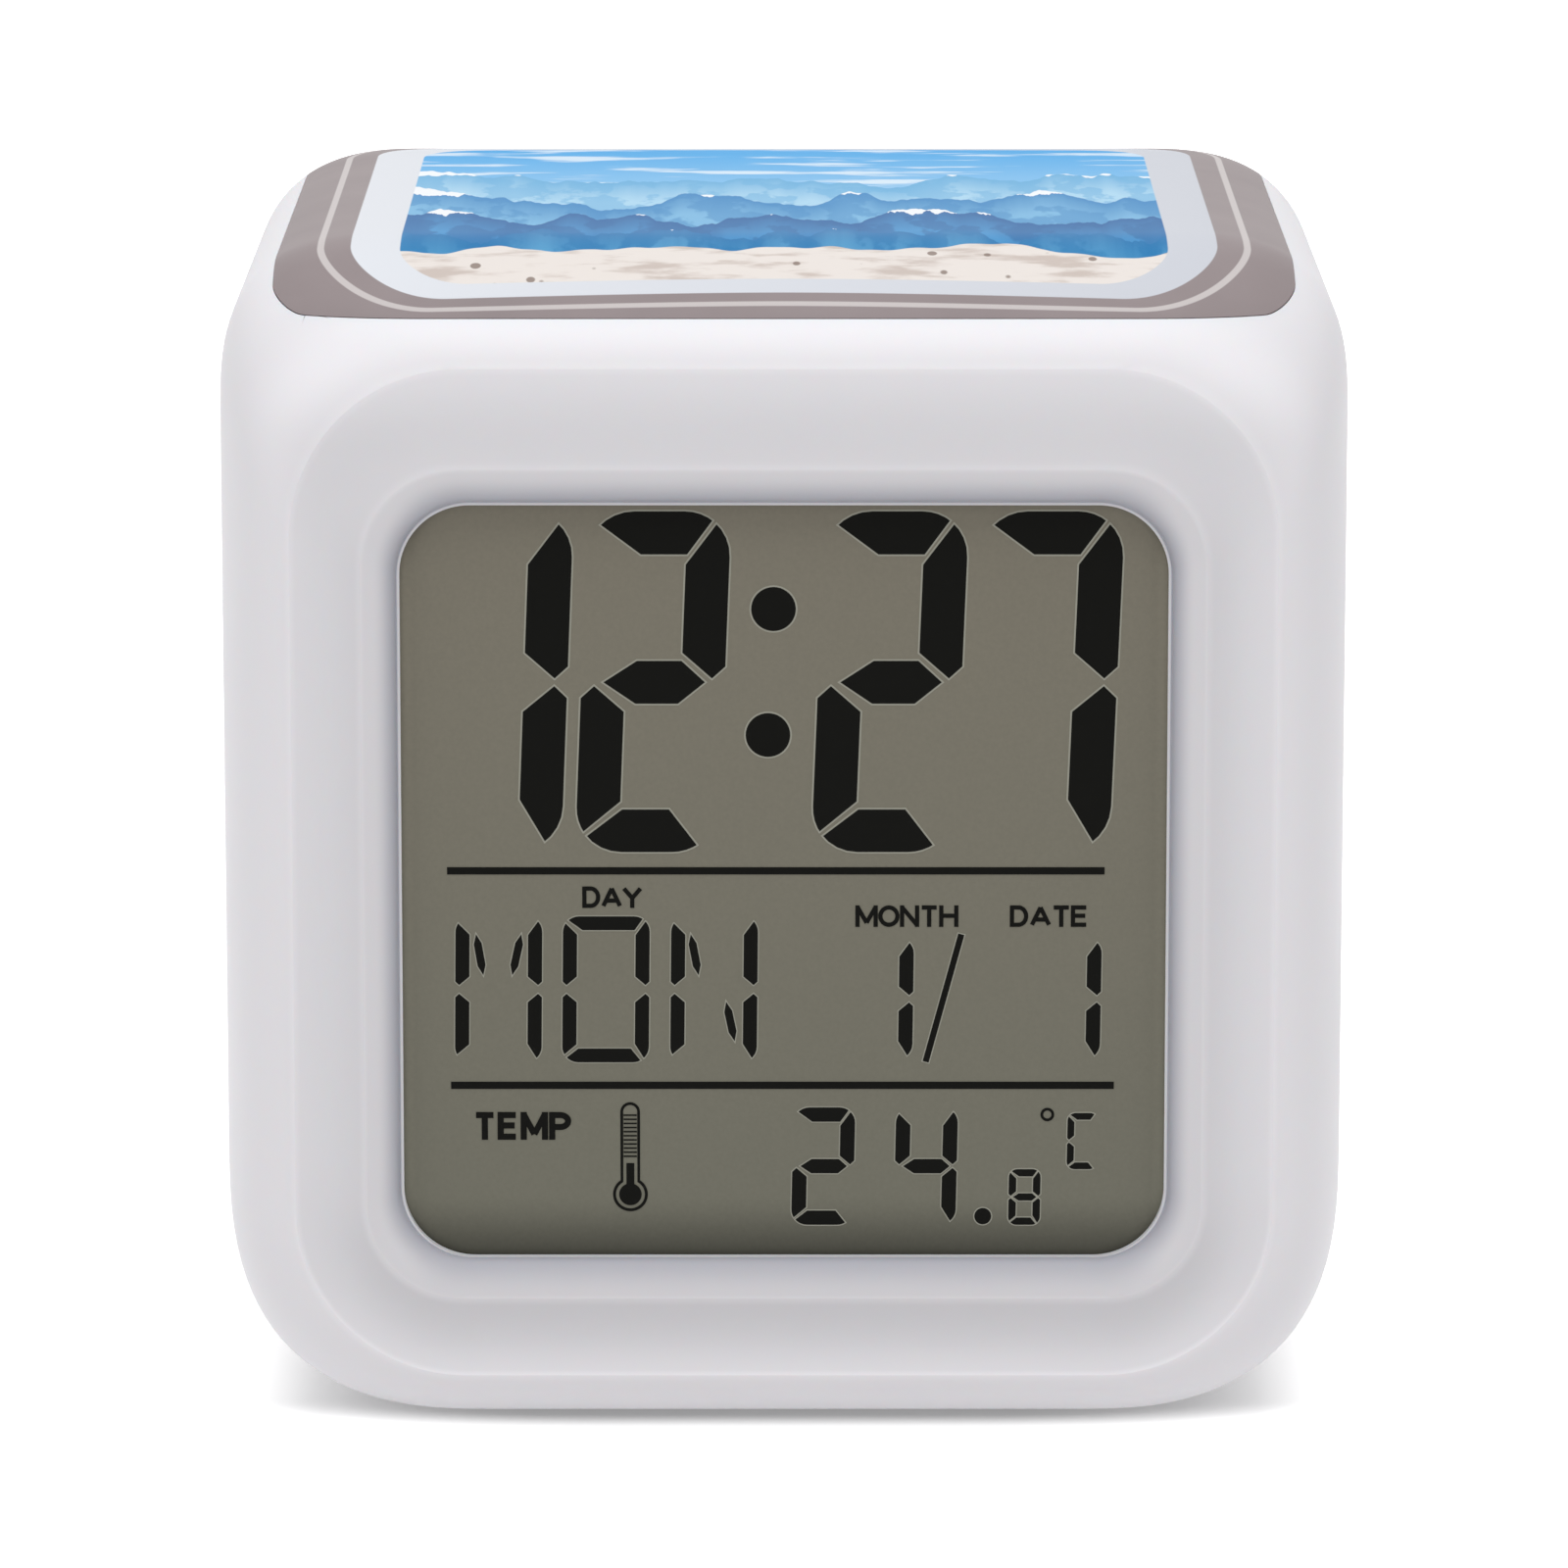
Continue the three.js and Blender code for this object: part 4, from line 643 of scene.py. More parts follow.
def roof(x, y):
    """Height of the case's top: the ring at this y, less its corner's fall at this x."""
    into_front = np.clip(1 - (y - FRONT) / FRONT_ROUND, 0, 1)
    into_back = np.clip(1 - (BACK - y) / BACK_ROUND, 0, 1)
    share = 1 - np.sqrt(1 - np.where(into_front > 0, into_front, into_back) ** 2)
    target = np.where((into_front > 0)[..., None], OUTER_RIDGE, REAR)
    ring = BODY + (target - BODY) * share[..., None]
    half, top, corner, power = ring[..., 0], ring[..., 1], ring[..., 3], ring[..., 5]
    reach = np.clip((np.abs(x) - half + corner) / corner, 0, 1)
    return top - corner * (1 - (1 - reach**power) ** (1 / power))


def over_roof(x, y, height):
    """Points at a height over the roof, square to it."""
    d = 0.05
    slope_x = (roof(x + d, y) - roof(x - d, y)) / (2 * d)
    slope_y = (roof(x, y + d) - roof(x, y - d)) / (2 * d)
    normal = np.stack([-slope_x, -slope_y, np.ones_like(slope_x)], -1)
    normal /= np.linalg.norm(normal, axis=-1, keepdims=True)
    return np.stack([x, y, roof(x, y)], -1) + normal * height


def roof_edge(x, z):
    """Where the front rounding reaches height z, by halving."""
    low, high = np.full_like(x, FRONT), np.full_like(x, FRONT + FRONT_ROUND)
    for _ in range(30):
        middle = (low + high) / 2
        under = roof(x, middle) < z
        low, high = np.where(under, middle, low), np.where(under, high, middle)
    return high


def film_sheet(grow, low, high, rows=110, columns=96):
    """A sheet over the roof with a level front edge and rounded corners. Rows crowd towards
    both ends as a cosine, and columns towards the sides as a sine."""
    front_z = BODY[1] - FILM_DROP - grow
    back_y = BACK - FILM_BACK + grow
    depth = back_y - roof_edge(np.zeros(1), front_z)[0]
    t = ((1 - np.cos(np.linspace(0, math.pi, rows + 1))) / 2)[:, None]
    corner = np.where(t < 0.5, FILM_FRONT_CORNER, FILM_BACK_CORNER)
    inset = np.maximum(0, corner - depth * np.minimum(t, 1 - t))
    half = FILM_HALF + grow - corner + np.sqrt(np.maximum(0, corner**2 - inset**2))
    x = half * np.sin(math.pi * (np.linspace(0, 1, columns + 1) - 0.5))
    front_y = roof_edge(x, front_z)
    y = front_y + (back_y - front_y) * t
    under, upper = over_roof(x, y, low), over_roof(x, y, high)
    count = (rows + 1) * (columns + 1)
    index = np.arange(count).reshape(rows + 1, columns + 1)
    rim = np.concatenate([index[0, :-1], index[:-1, -1], index[-1, :0:-1], index[:0:-1, 0]])
    faces = grid_faces(rows + 1, columns + 1)
    wall = np.stack([rim, np.roll(rim, -1), np.roll(rim, -1) + count, rim + count], 1)
    points = np.concatenate([under.reshape(-1, 3), upper.reshape(-1, 3)])
    steps = np.linalg.norm(np.diff(upper, axis=0), axis=-1)
    along = np.concatenate([np.zeros((1, columns + 1)), np.cumsum(steps, 0)])
    return (points, [faces[:, ::-1], faces + count, wall[:, ::-1]]), np.stack([x, along], -1)


def make_film():
    """The film, with a map in millimetres: x, and the way along the sheet from its front."""
    shape, flat = film_sheet(0, -FILM_THICK, 0)
    film = raw("printed_top_film", shape)
    give_map(film, "film_mm", np.tile(flat.reshape(-1, 2), (2, 1)))
    return put(film, printed_film, "clock", "printed_film", "top_print")


shape, out = case_shape()
case = raw("moulded_case", shape)
give_map(case, "bezel", np.stack([out, np.zeros_like(out)], 1))
pad_size = (PAD_WIDTH + 2 * PLATE_CLEARANCE, PAD_DEPTH + 2 * PLATE_CLEARANCE)
carve(
    case,
    [
        film_sheet(FILM_CLEARANCE, -FILM_THICK - FILM_CLEARANCE, 2.0)[0],
        plate(pad_size, PAD_CORNER + PLATE_CLEARANCE, (0, PAD_Y), (LIFT - 2, LIFT + WALL + 2), "z"),
    ],
)
put(case, case_abs, "clock", "shell_plastic", "housing", sharp=30)
make_film()


# Display

cell_y = SEAT_Y + GAP
cell_size, glass_y = WINDOW_SIZE + 2 * GLASS_MARGIN, (cell_y, cell_y + GLASS_THICK)
glass = plate((cell_size, cell_size), GLASS_CORNER, (0, WINDOW_Z), glass_y, "y", (0.15, 0.0))
put(("lcd_glass", glass), polariser, "clock", "display_glass", "lcd_cell")


def arc(x, z, radius, start, end, count=5):
    """Points on a circle between two angles in degrees."""
    a = np.radians(np.linspace(start, end, count))
    return np.stack([x + radius * np.cos(a), z + radius * np.sin(a)], 1)


def inset(outline, by):
    """A convex outline with every edge moved in: each corner is where two moved edges cross."""
    edge = np.roll(outline, -1, 0) - outline
    edge /= np.linalg.norm(edge, axis=1, keepdims=True)
    inward = np.stack([-edge[:, 1], edge[:, 0]], 1)
    level = np.einsum("ij,ij->i", inward, outline) + by
    before, before_level = np.roll(inward, 1, 0), np.roll(level, 1)
    turn = before[:, 0] * inward[:, 1] - before[:, 1] * inward[:, 0]
    x = (before_level * inward[:, 1] - level * before[:, 1]) / turn
    z = (level * before[:, 0] - before_level * inward[:, 0]) / turn
    return np.stack([x, z], 1)


def digit(shown, x, z, width, height, stroke, lean, apart=0.07, gap=0.0):
    """Outlines of a seven-segment figure, in strokes from its corners, leaned by x += lean z.
    The outer corners are quarter circles, cut where two segments meet. Each outline moves in
    by a share of a stroke, so the segments stand apart, and the halves part by a gap more."""
    x, z = x - apart * stroke, z - apart * stroke
    w, h = width / stroke + 2 * apart, height / stroke + 2 * apart
    m, up, down = h / 2, h / 2 + gap, h / 2 - gap
    parts = {
        "a": [[1.15, h - 1], [w - 0.89, h - 1], *arc(w - 1, h - 1, 1, 50, 90),
              *arc(1, h - 1, 1, 90, 139)],
        "b": [[w - 1, up + 0.58], [w - 0.32, up], [w, up + 0.3], *arc(w - 1, h - 1, 1, 0, 50),
              [w - 1, h - 1.13]],
        "c": [[w - 1, 1.13], *arc(w - 1, 1, 1, -54, 0), [w, down - 0.3], [w - 0.32, down],
              [w - 1, down - 0.58]],
        "d": [[w - 1.06, 1], [0.96, 1], *arc(1, 1, 1, 217, 270), *arc(w - 1, 1, 1, 270, 306)],
        "e": [[1, 1.08], [1, down - 0.58], [0.32, down], [0, down - 0.3],
              *arc(1, 1, 1, 180, 217)],
        "f": [[1, up + 0.58], [1, h - 1.1], *arc(1, h - 1, 1, 139, 180), [0, up + 0.3],
              [0.32, up]],
        "g": [[1.15, m - 0.5], [w - 0.97, m - 0.5], [w - 0.37, m], [w - 0.93, m + 0.5],
              [1.15, m + 0.5], [0.4, m]],
    }
    made = []
    for name in shown:
        outline = inset(np.array(parts[name], float), apart) * stroke
        made.append(outline + [x, z] + lean * outline[:, 1:] * [1, 0])
    return made


def bar(x0, z0, x1, z1, thick, point=0.0):
    """A straight bar between two places, its ends drawn to a point by a share of its thickness."""
    start, end = np.array([x0, z0]), np.array([x1, z1])
    along = (end - start) / np.linalg.norm(end - start)
    side = np.array([-along[1], along[0]]) * thick / 2
    if not point:
        return np.array([start - side, end - side, end + side, start + side])
    tip = along * point
    low, high = [start + tip - side, end - tip - side], [end - tip + side, start + tip + side]
    return np.array([start, *low, end, *high])


def ring_pieces(middle, radii, line, first, last, count=36):
    """A ring, or the part of it between two angles in degrees, as short convex pieces."""
    turn = np.radians(np.linspace(first, last, count + 1))[:, None]
    way = np.concatenate([np.cos(turn), np.sin(turn)], 1)
    outer, inner = (middle + way * (np.asarray(radii) + by) for by in (line / 2, -line / 2))
    return [np.stack(q) for q in zip(outer[:-1], outer[1:], inner[1:], inner[:-1])]


def disc(x, z, radius, count=40):
    """A full circle of points."""
    return arc(x, z, radius, 0, 360 * (1 - 1 / count), count)


BIG = {"z": 2.0, "width": 10.1, "height": 24.4, "stroke": 3.48, "lean": 0.04, "apart": 0.06}
DAY = {"z": -13.24, "width": 6.14, "height": 10.59, "stroke": 1.28, "lean": 0.01, "apart": 0.11}
DAY["gap"] = 0.1
DATE = {"z": -13.05, "width": 4.6, "height": 8.85, "stroke": 1.28, "lean": 0.012, "apart": 0.1}
DATE["gap"] = 0.07
TEMP = {"z": -25.11, "width": 4.4, "height": 8.58, "stroke": 1.24, "lean": 0.02, "apart": 0.08}
SMALL = {"z": -25.11, "width": 2.25, "height": 4.07, "stroke": 0.66, "lean": 0.015, "apart": 0.1}
UNIT = {"z": -21.04, "width": 2.15, "height": 4.1, "stroke": 0.64, "lean": 0.015, "apart": 0.12}
big_marks = [
    *digit("bc", -25.85, **BIG),
    *digit("abged", -14.77, **BIG),
    *digit("abged", 1.91, **BIG),
    *digit("abc", 12.85, **BIG),
    disc(-0.74, 19.44, 1.57),
    disc(-1.13, 10.42, 1.57),
]
small_marks = [
    *digit("bcef", -23.35, **DAY),
    *digit("abcdef", -15.74, **DAY),
    *digit("bcef", -8.08, **DAY),
    bar(-21.8, -3.95, -21.3, -6.9, 0.56, 0.7),
    bar(-18.6, -3.95, -19.25, -6.9, 0.56, 0.7),
    bar(-6.6, -3.95, -6.05, -6.9, 0.56, 0.7),
    bar(-4.1, -8.85, -3.5, -11.7, 0.56, 0.7),
    *digit("bc", 4.5, **DATE),
    *digit("bc", 17.8, **DATE),
    bar(10.05, -13.2, 12.55, -3.95, 0.44),
    *digit("abged", 0.5, **TEMP),
    *digit("fgbc", 7.8, **TEMP),
    disc(14.15, -24.48, 0.6),
    *digit("abcdefg", 15.95, **SMALL),
    *digit("afed", 20.1, **UNIT),
]
plain_marks = [
    bar(-23.82, 0.64, 22.66, 0.64, 0.52),
    bar(-23.64, -14.92, 23.42, -14.92, 0.52),
    disc(-10.93, -22.88, 0.8),
    bar(-10.93, -22.6, -10.93, -20.6, 0.56),
    *[bar(-11.4, -17.1 - 0.3 * i, -10.46, -17.1 - 0.3 * i, 0.11) for i in range(11)],
]


# The thermometer's tube and bulb, and the degree ring: each an outer and an inner outline
tube, tube_inner = (
    np.concatenate([arc(-10.93, -16.85, top, 0, 180, 13), arc(-10.93, -22.88, bulb, *sweep, 34)])
    for top, bulb, sweep in ((0.7, 1.24, (124, 416)), (0.5, 1.03, (119.1, 420.9)))
)
bands = [(tube, tube_inner), (disc(18.71, -17.05, 0.49), disc(18.71, -17.05, 0.29))]


def flat_marks(outlines, rings, grow, front, back):
    """Thin prisms of outlines over the glass, and of bands between two outlines. Neighbours lie
    at slightly different depths, so where two cross their faces don't fight."""
    shapes = []
    for i, outline in enumerate(outlines):
        shapes.append(prism(inset(outline, -grow) + [0, WINDOW_Z], (front - 0.001 * (i % 7), back)))
    for outer, inner in rings:
        loops = [(outer, front), (outer, back), (inner, back), (inner, front)]
        loops = [facing(o[:, 0], o[:, 1] + WINDOW_Z, np.full(len(o), w), "y") for o, w in loops]
        shapes.append(skin(np.stack(loops), closed=True))
    return join(*shapes)


# Printed capitals as strokes in a unit box: bars (x0, z0, x1, z1) and half rings (x, z, rx, rz)
capitals = {
    "A": ([(0.03, 0, 0.5, 1), (0.97, 0, 0.5, 1), (0.2, 0.3, 0.8, 0.3)], []),
    "D": ([(0, 0, 0, 1), (-0.05, 0, 0.45, 0), (-0.05, 1, 0.45, 1)],
          [(0.42, 0.5, 0.5, 0.5, -90, 90)]),
    "Y": ([(0, 1, 0.5, 0.45), (1, 1, 0.5, 0.45), (0.5, 0, 0.5, 0.5)], []),
    "M": ([(0, 0, 0, 1), (1, 0, 1, 1), (0.02, 1, 0.5, 0.12), (0.98, 1, 0.5, 0.12)], []),
    "O": ([], [(0.5, 0.5, 0.5, 0.5, 0, 360)]),
    "N": ([(0, 0, 0, 1), (1, 0, 1, 1), (0.02, 1, 0.98, 0)], []),
    "T": ([(0, 1, 1, 1), (0.5, 0, 0.5, 1)], []),
    "H": ([(0, 0, 0, 1), (1, 0, 1, 1), (0, 0.52, 1, 0.52)], []),
    "E": ([(0, 0, 0, 1), (-0.05, 0, 0.95, 0), (-0.05, 1, 0.95, 1), (0, 0.52, 0.88, 0.52)], []),
    "P": ([(0, 0, 0, 1), (-0.05, 1, 0.5, 1), (-0.05, 0.45, 0.5, 0.45)],
          [(0.48, 0.725, 0.46, 0.275, -90, 90)]),
}
letter_widths = {"A": 1.12, "M": 1.15, "O": 1.08, "E": 0.86, "T": 0.94, "P": 0.92, "Y": 1.05}


def word(text, x, z, width, tall, stroke, space=0.16):
    """A word in capitals: every stroke keeps inside the letter's height by half its thickness."""
    room = tall - stroke
    wide = [letter_widths.get(c, 0.95) for c in text]
    unit = (width - stroke) / (sum(wide) + (len(text) - 1) * (space + stroke / tall))
    shapes, left = [], x + stroke / 2
    for c, share in zip(text, wide):
        size = np.array([share * unit, room])
        corner = np.array([left, z + stroke / 2])
        bars, rings = capitals[c]
        for x0, z0, x1, z1 in bars:
            start, end = corner + size * [x0, z0], corner + size * [x1, z1]
            reach = (end - start) / np.linalg.norm(end - start) * stroke / 2 * (abs(x1 - x0) < 0.02)
            shapes.append(bar(*(start - reach), *(end + reach), stroke))
        for cx, cz, rx, rz, first, last in rings:
            shapes += ring_pieces(corner + size * [cx, cz], size * [rx, rz], stroke, first, last)
        left += (share + space) * unit + stroke * unit / tall
    return shapes


printed_words = [
    *word("DAY", -14.27, -2.04, 4.27, 1.55, 0.3, 0.03),
    *word("MONTH", 5.05, -3.41, 7.29, 1.55, 0.3, 0.1),
    *word("DATE", 15.98, -3.41, 5.6, 1.55, 0.3, 0.06),
    *word("TEMP", -22.1, -18.89, 7.05, 2.02, 0.44, 0.17),
]

dark = (cell_y - 0.03, cell_y - 0.005)
behind = (cell_y - 0.012, cell_y - 0.001)
marks = flat_marks(big_marks + small_marks + plain_marks, bands, 0.0, *dark)
pale = ((big_marks, 0.12), (small_marks, 0.08))
halo = join(*[flat_marks(group, [], grow, *behind) for group, grow in pale])
letters = flat_marks(printed_words, [], 0.0, *dark)
put(("lcd_segments", marks), segment_dark, "clock", "display_glass")
put(("lcd_segment_edges", halo), segment_edge, "clock", "display_glass")
put(("lcd_words", letters), segment_dark, "clock", "display_glass")


# Back panel, door, keys and screws

strip_y = BACK - STRIP_SINK
screw_inset = opening[3] - (opening[3] - SCREW_HEAD - 0.7 - 2 * GAP) * math.sqrt(0.5)
screw_x = opening[0] - screw_inset
screw_heights = (opening[1] - screw_inset, opening[2] + screw_inset)
panel_screws = [(x, z) for x in (-screw_x, screw_x) for z in screw_heights]


def rod(radius, span, x, z, steps=40):
    """A plain round bar along Y."""
    y0, y1 = span
    return turned([[0, y0], [radius, y0], [radius, y1], [0, y1]], (x, z), "y", steps)


def box(width, depth, height, x, y, z):
    """A block about its middle."""
    return prism(SQUARE * [width / 2, height / 2] + [x, z], (y - depth / 2, y + depth / 2))


def back_panel():
    """The panel's rounded plate with its battery tray behind it, cut for the strip, keys,
    switch, screws, sound holes, door, latch and tabs."""
    rings, y = np.array([shrink(opening, GAP)] * 2), np.array([PANEL_Y, BACK])
    x, z = ring_points(rings)
    panel = raw("back_panel_moulding", skin(facing(x, z, y[:, None], "y")))
    wall, behind = 2 * TRAY_WALL, (tray_floor - TRAY_WALL, PANEL_Y + 1.3)
    tray = plate((tray_width + wall, tray_height + wall), TRAY_WALL, (0, DOOR_Z), behind)
    carve(panel, [tray], "UNION")
    seat, seat_depth = (door_width + 2 * GAP, door_height + 2 * GAP), DOOR_THICK + GAP + 2
    slide, through = (KNOB + SWITCH_TRAVEL + 2 * GAP, KNOB + 2 * GAP), (PANEL_Y - 1, BACK + 2)
    head, tab_depth = (BACK - SCREW_HEAD_THICK, BACK + 2), DOOR_THICK + 3 * GAP
    cuts = [
        plate((STRIP_WIDTH, STRIP_HEIGHT), STRIP_HEIGHT / 3, (0, STRIP_Z), (strip_y, BACK + 2)),
        plate(seat, DOOR_CORNER, (0, DOOR_Z), (door_y - GAP, BACK + 2)),
        box(tray_width, tray_depth + 2, tray_height, 0, tray_floor + (tray_depth + 2) / 2, DOOR_Z),
        box(LATCH_WIDTH + 2 * GAP, seat_depth, 2 * (LATCH_REACH + GAP), 0,
            door_y - GAP + seat_depth / 2, door_high),
        plate(slide, 0.5, (SWITCH_X, STRIP_Z), through),
        *[rod(BUTTON_RADIUS + GAP, through, bx, STRIP_Z) for bx in BUTTON_XS],
        *[rod(SCREW_HEAD + GAP, head, sx, sz) for sx, sz in panel_screws],
        *[rod(SCREW_RADIUS + GAP, through, sx, sz, 24) for sx, sz in panel_screws],
        *[rod(HOLE_RADIUS, through, (i - 2) * HOLE_PITCH, screw_heights[0], 24) for i in range(5)],
        *[box(TAB_WIDTH + 2 * GAP, tab_depth, 2 * (TAB_REACH + 2 * GAP), tx,
              door_y + GAP - tab_depth / 2, door_low) for tx in (-TAB_X, TAB_X)],
    ]
    carve(panel, cuts)
    return soften(panel, 0.14)


put(back_panel(), frosted_abs, "clock", "shell_plastic", "back_panel")


def battery_door():
    """A flat plate with two tabs below, a latch above and a thumb scoop with grip ribs."""
    slab = plate((door_width, door_height), DOOR_CORNER, (0, DOOR_Z), (door_y, BACK))
    door = raw("battery_door_moulding", slab)
    thick, tall, middle = DOOR_THICK - 2 * GAP, TAB_REACH + DOOR_LEDGE, door_y + DOOR_THICK / 2
    tab_y, tab_z = door_y - thick / 2 + 0.001, door_low - TAB_REACH + tall / 2
    added = [box(TAB_WIDTH, thick, tall, tx, tab_y, tab_z) for tx in (-TAB_X, TAB_X)]
    added.append(box(LATCH_WIDTH, DOOR_THICK, 2 * LATCH_REACH, 0, middle, door_high))
    carve(door, added, "UNION")
    scoop_z, scoop = door_high - LATCH_WIDTH / 3, (LATCH_WIDTH, LATCH_WIDTH / 3)
    carve(door, [plate(scoop, LATCH_WIDTH / 6, (0, scoop_z), (middle, BACK + 2))])
    ribs = [box(LATCH_WIDTH - 3, 0.4, 0.45, 0, middle, scoop_z + z) for z in (-0.85, 0.0, 0.85)]
    carve(door, ribs, "UNION")
    arrow = np.array([[-1.6, 0.0], [0.0, -2.2], [1.6, 0.0]]) + [0, scoop_z - 3.4]
    carve(door, [prism(arrow, (BACK - 0.3, BACK + 1))])
    return soften(door, 0.12)


put(battery_door(), frosted_abs, "battery_door", "shell_plastic", "battery_door")

flange_y = PANEL_Y - GAP
face_y = BACK - GAP / 3


key_marks = {
    "mode_button": [bar(-0.9, z, 0.9, z, 0.3) for z in (-0.7, 0.0, 0.7)],
    "set_button": ring_pieces(0.0, 0.8, 0.3, 0, 360, 24),
    "up_button": [np.array([[-1.0, -0.7], [1.0, -0.7], [0.0, 0.95]])],
    "down_button": [np.array([[-1.0, 0.7], [0.0, -0.95], [1.0, 0.7]])],
}
for name, bx in zip(("mode_button", "set_button", "up_button", "down_button"), BUTTON_XS):
    rim = arc(BUTTON_RADIUS - ROLL, face_y - ROLL, ROLL, 0, 90, 7)
    dip = [[r, face_y - KEY_DIP * (1 - (r / 2.5) ** 2)] for r in np.linspace(2.3, 0.3, 7)]
    low_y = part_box(name)[0].y * 1000
    stem = [[0, low_y], [1.5, low_y], [1.5, flange_y - 0.8], [4, flange_y - 0.8], [4, flange_y]]
    profile = [*stem, [BUTTON_RADIUS, flange_y], *rim, *dip, [0, face_y - KEY_DIP]]
    key = turned(profile, (bx, STRIP_Z), "y", 64)
    put((name + "_key", key), key_abs, name, "button_plastic", name)
    mark = [prism(o + [bx, STRIP_Z], (face_y - 0.34, face_y - 0.1)) for o in key_marks[name]]
    put((name + "_mark", join(*mark)), black_mould, name, "button_plastic")


def knob_shape():
    """The switch knob: its face has three rounded ribs, a raised sine, across the way it slides."""
    low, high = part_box("light_switch_knob")
    x0, x1, y0, y1 = (v * 1000 for v in (low.x, high.x, low.y, high.y))
    u = np.linspace(x0 + 0.2, x1 - 0.2, 49)
    ribs = y1 - 0.35 * (0.5 + 0.5 * np.cos(2 * math.pi * 3 * (u - u[0]) / (u[-1] - u[0])))
    face = np.stack([u, ribs], 1)[::-1]
    outline = [[x0, y0], [x1, y0], [x1, y1 - 0.4], *face, [x0, y1 - 0.4]]
    return prism(outline, (low.z * 1000, high.z * 1000), "z")


slider = ("light_switch_slider", knob_shape())
put(slider, black_mould, "light_switch", "holder_plastic", "light_switch_knob")

for i, (sx, sz) in enumerate(panel_screws):
    node = f"panel_screw_{i + 1}"
    low, high = (v.y * 1000 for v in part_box(node))
    head_y = BACK - SCREW_HEAD_THICK
    dome = arc(0, 0, 1, 0, 90, 6)[:-1] * [SCREW_HEAD, ROLL] + [0, high - ROLL]
    shank = [[0, low], [SCREW_RADIUS, low + 1.2], [SCREW_RADIUS, head_y], [SCREW_HEAD, head_y]]
    screw = raw(f"cross_head_screw_{i + 1}", turned([*shank, *dome, [0, high]], (sx, sz)))
    # The slots' outline as numbers x + iz: three corners of an arm, turned by quarters and tilted
    a, b = 0.28, 1.15
    arm = np.array([a + a * 1j, a + b * 1j, -a + b * 1j]) * np.exp(1j * math.radians(25 + 40 * i))
    cross = (np.array([1, 1j, -1, -1j])[:, None] * arm).ravel()[::-1] + (sx + sz * 1j)
    carve(screw, [prism(np.stack([cross.real, cross.imag], 1), (high - 0.7, high + 1))])
    put(screw, zinc, "clock", "plated_steel", node)


# Cells and their springs

cells_left = -(CELL_LENGTH + CELL_NUB) / 2
for i in range(CELLS):
    z = DOOR_Z + (i - (CELLS - 1) / 2) * cell_pitch
    flip = 1 if i % 2 == 0 else -1
    shift = flip * SPRING_SPACE / 2
    r = CELL_RADIUS
    base = [[0, 0.25], [3.6, 0.25], [3.8, 0.0], [r - 0.6, 0.0], [r - 0.15, 0.2], [r, 0.6]]
    shoulder = [[r, -SLEEVE_END], [r, -0.7], [r - 0.2, -0.2], [r - 0.6, 0], [3.6, 0], [3.3, -0.25],
                [1.9, -0.25], [1.9, CELL_NUB - 0.3], [1.6, CELL_NUB], [0, CELL_NUB]]
    profile = np.array([*base, *(shoulder + np.array([0, CELL_LENGTH]))], float)
    profile[:, 1] = shift + flip * (cells_left + profile[:, 1])
    cell = raw(f"dry_cell_{i + 1}", turned(profile, (cells_y, z), "x", 56))
    put(cell, sleeve, "clock", "cell_jacket", f"battery_cell_{i + 1}")
    for made in (copper_sleeve, nickel):
        cell.data.materials.append(made)
    middles = np.zeros(len(cell.data.polygons) * 3, np.float32)
    cell.data.polygons.foreach_get("center", middles)
    middles = middles.reshape(-1, 3) * 1000
    along = (middles[:, 0] - shift) * flip - cells_left
    away = np.hypot(middles[:, 1] - cells_y, middles[:, 2] - z)
    kind = np.where(along > CELL_LENGTH - SLEEVE_END, 1, 0)
    kind = np.where((away < 3.7) | (along < 0.05), 2, kind)
    cell.data.polygons.foreach_set("material_index", kind.astype(np.int32))
    start = shift + flip * (cells_left - SPRING_SPACE + GAP)
    reach = flip * (SPRING_SPACE - 2 * GAP)
    spring = coil(CELL_RADIUS * 0.7, SPRING_WIRE, reach, 2.5, (cells_y, z), "x", start)
    name = f"battery_spring_{i + 1}"
    put((f"cell_spring_{i + 1}", spring), nickel, "clock", "spring_steel", name)


# Press plate and its grip pad

floor_z = LIFT + WALL
flange_z = floor_z + GAP
flange_top = flange_z + PLATE_FLANGE_THICK
block = plate((PAD_WIDTH, PAD_DEPTH), PAD_CORNER, (0, PAD_Y), (GRIP_THICK, flange_top), "z")
press = raw("press_plate_moulding", block)
reach = 2 * (PLATE_CLEARANCE + PLATE_FLANGE)
flange_size = (PAD_WIDTH + reach, PAD_DEPTH + reach)
flange = plate(flange_size, PAD_CORNER, (0, PAD_Y), (flange_z, flange_top), "z")
carve(press, [flange], "UNION")
put(press, frosted_abs, "press_plate", "shell_plastic", "press_plate")
grip = plate((PAD_WIDTH, PAD_DEPTH), PAD_CORNER, (0, PAD_Y), (0, GRIP_THICK), "z", (0.3, 0.0))
put(("rubber_grip_pad", grip), silicone, "press_plate", "grip_rubber", "grip_pad")


# In the clock the press plate's springs close up against the carrier as the plate rises a
# millimetre; here each is built at rest, with a mesh of its own
for i in range(4):
    node = f"press_spring_{i + 1}"
    low, high = (np.array(v) * 1000 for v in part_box(node))
    x, y = (low[:2] + high[:2]) / 2
    length = high[2] - low[2]
    radius = (high[0] - low[0]) / 2 - SPRING_WIRE
    spring = coil(radius, SPRING_WIRE, length, 3.5, (x, y), "z", low[2])
    spring = put((f"plate_spring_{i + 1}", spring), nickel, "clock", "spring_steel", node)
    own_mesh(spring)


# Pieces inside keep their CAD shape and take a finish

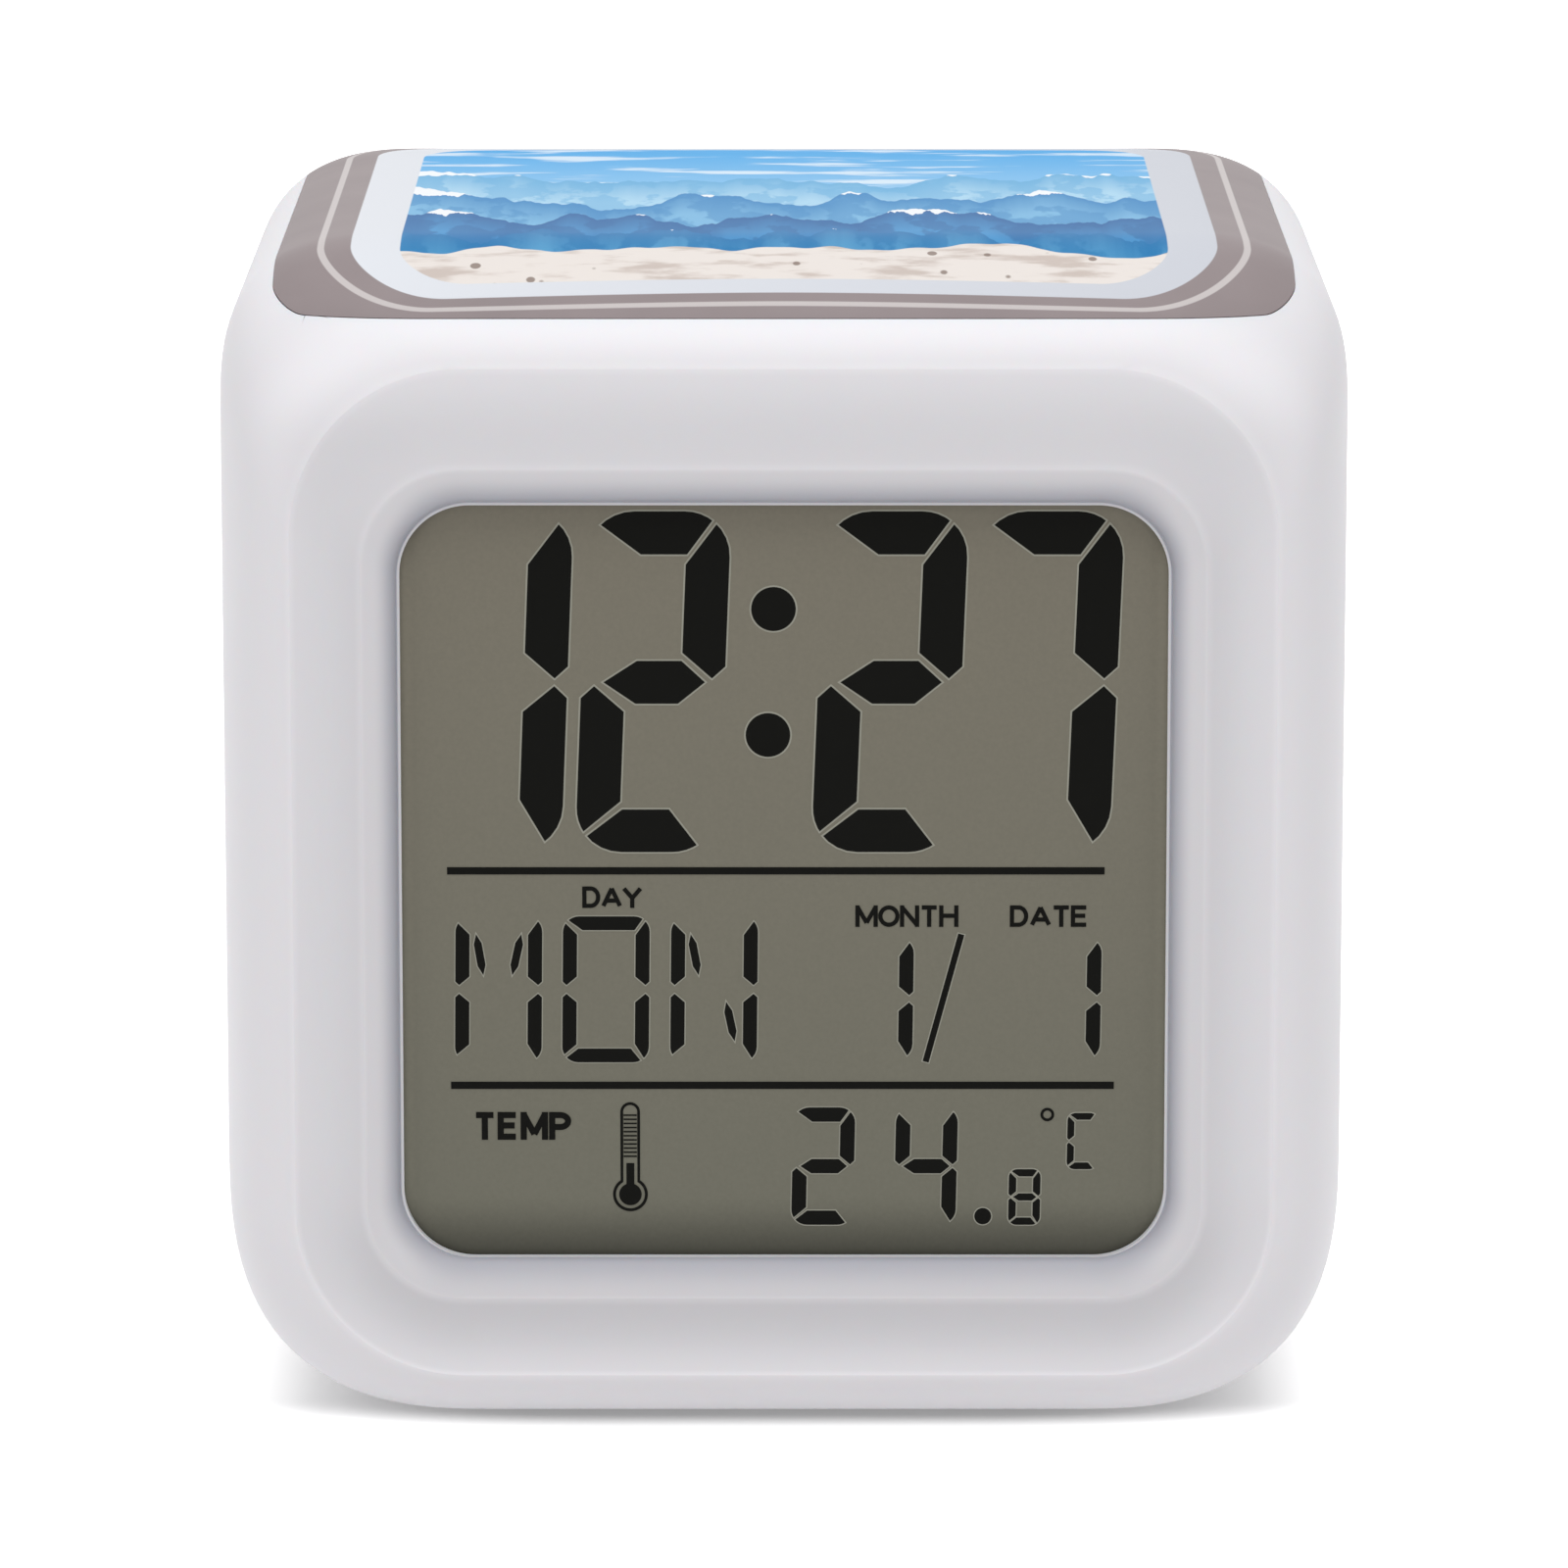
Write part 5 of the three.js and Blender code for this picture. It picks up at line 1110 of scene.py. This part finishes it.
finishes = (
    (black_mould, "lcd_holder buzzer control_chip thermistor tact_switch press_switch"),
    (zinc, "clock_crystal light_switch_body board_screw button_board_screw carrier_screw"),
    (solder_mask, "main_board button_board"),
    (opal_acrylic, "light_diffuser"),
    (zebra_rubber, "zebra_strip"),
    (led_epoxy, "colour_led"),
    (nickel, "contact_strip"),
    (frosted_abs, "spring_carrier"),
    (ribbon_pvc, "ribbon_cable"),
    (red_wire, "battery_lead_red"),
    (black_wire, "battery_lead_black"),
)
inside_finishes = {name: made for made, names in finishes for name in names.split()}
for name, node in nodes.items():
    if node.hide_render:
        continue
    kinds = [k for k in inside_finishes if name.startswith(k)]
    node.data.materials.clear()
    node.data.materials.append(inside_finishes[max(kinds, key=len)])


# Floor, light and camera


def seen_directly(add):
    """1 where the camera, a mirror or glass looks, and 0 for soft light."""
    path = add("ShaderNodeLightPath").outputs
    either = add(MATH, (path["Is Camera Ray"], path["Is Glossy Ray"]), **MAX)
    return add(MATH, (either, path["Is Transmission Ray"]), **MAX)


world = bpy.data.worlds.new("studio")
bpy.context.scene.world = world
world.use_nodes = True
sky, add = world.node_tree.nodes["Background"], partial(add_node, world.node_tree)
feed(sky, "Strength", add(RANGE, (seen_directly(add), 0.0, 1.0, 0.515, 1.0)))
feed(sky, "Color", (1.0, 1.0, 1.0, 1.0))

# A white card floor. It keeps the shadow under and close round the clock, and further out it
# is white to the camera: soon in front, and slowly to the sides.
white_floor = bpy.data.materials.new("matt_white_card")
card, add = inks(white_floor)
feed(card, "Base Color", (0.8, 0.8, 0.8, 1.0))
feed(card, "Roughness", 0.9)
feed(card, "Specular IOR Level", 0.0)
feed(card, "Emission Color", (1.0, 1.0, 1.0, 1.0))
spot = add(SPLIT, (add(PLACE).outputs["Object"],)).outputs
away = distance_past(add, ((spot["X"], 0.0, 0.0121, 0.186), (spot["Y"], 0.0, 0.0204, 0.8)))
share = add(RANGE, (away, 0.0032, 0.0072, 0.22, 1.0), **SMOOTH)
glow = add(MATH, (seen_directly(add), share), **TIMES)
feed(card, "Emission Strength", add(MATH, (glow, 0.06), **MAX))

card_sheet = np.insert(SQUARE * FLOOR_HALF, 2, 0.0, axis=1)
ground = new_object("floor", fill(bpy.data.meshes.new("floor"), card_sheet, [np.arange(4)[None]]))
ground.data.materials.append(white_floor)


def softbox(name, spot, target, size, power):
    """A square area lamp that faces a point."""
    lamp = bpy.data.lights.new(name, "AREA")
    lamp.shape, lamp.size, lamp.energy = "SQUARE", size, power
    thing = new_object(name, lamp)
    way = np.array(target) - np.array(spot)
    thing.location = spot
    tilt, turn = math.acos(-way[2] / np.linalg.norm(way)), math.atan2(-way[0], way[1])
    thing.rotation_euler = (tilt, 0, turn)


softbox("top_softbox", (0.0, -0.25, 1.0), (0, 0, 0.05), 0.9, 6.5)
softbox("front_softbox", (-0.4, -1.0, 0.35), (0, 0, 0.05), 0.8, 0.8)

# The camera that was fitted to the photograph: its distance from the face, height and tilt, and
# a focal length in pixels of a picture 1600 wide
lens = bpy.data.cameras.new("camera")
lens.sensor_width, lens.lens = 36.0, 36.0 * FOCAL / 1600
lens.clip_start, lens.clip_end = 0.05, 20.0
camera = new_object("camera", lens)
camera.location = (0.0, (FRONT - VIEW_DISTANCE) / 1000, VIEW_HEIGHT / 1000)
camera.rotation_euler = (math.pi / 2 - VIEW_TILT, 0.0, 0.0)
bpy.context.scene.camera = camera
bpy.context.scene.view_settings.view_transform = "Standard"
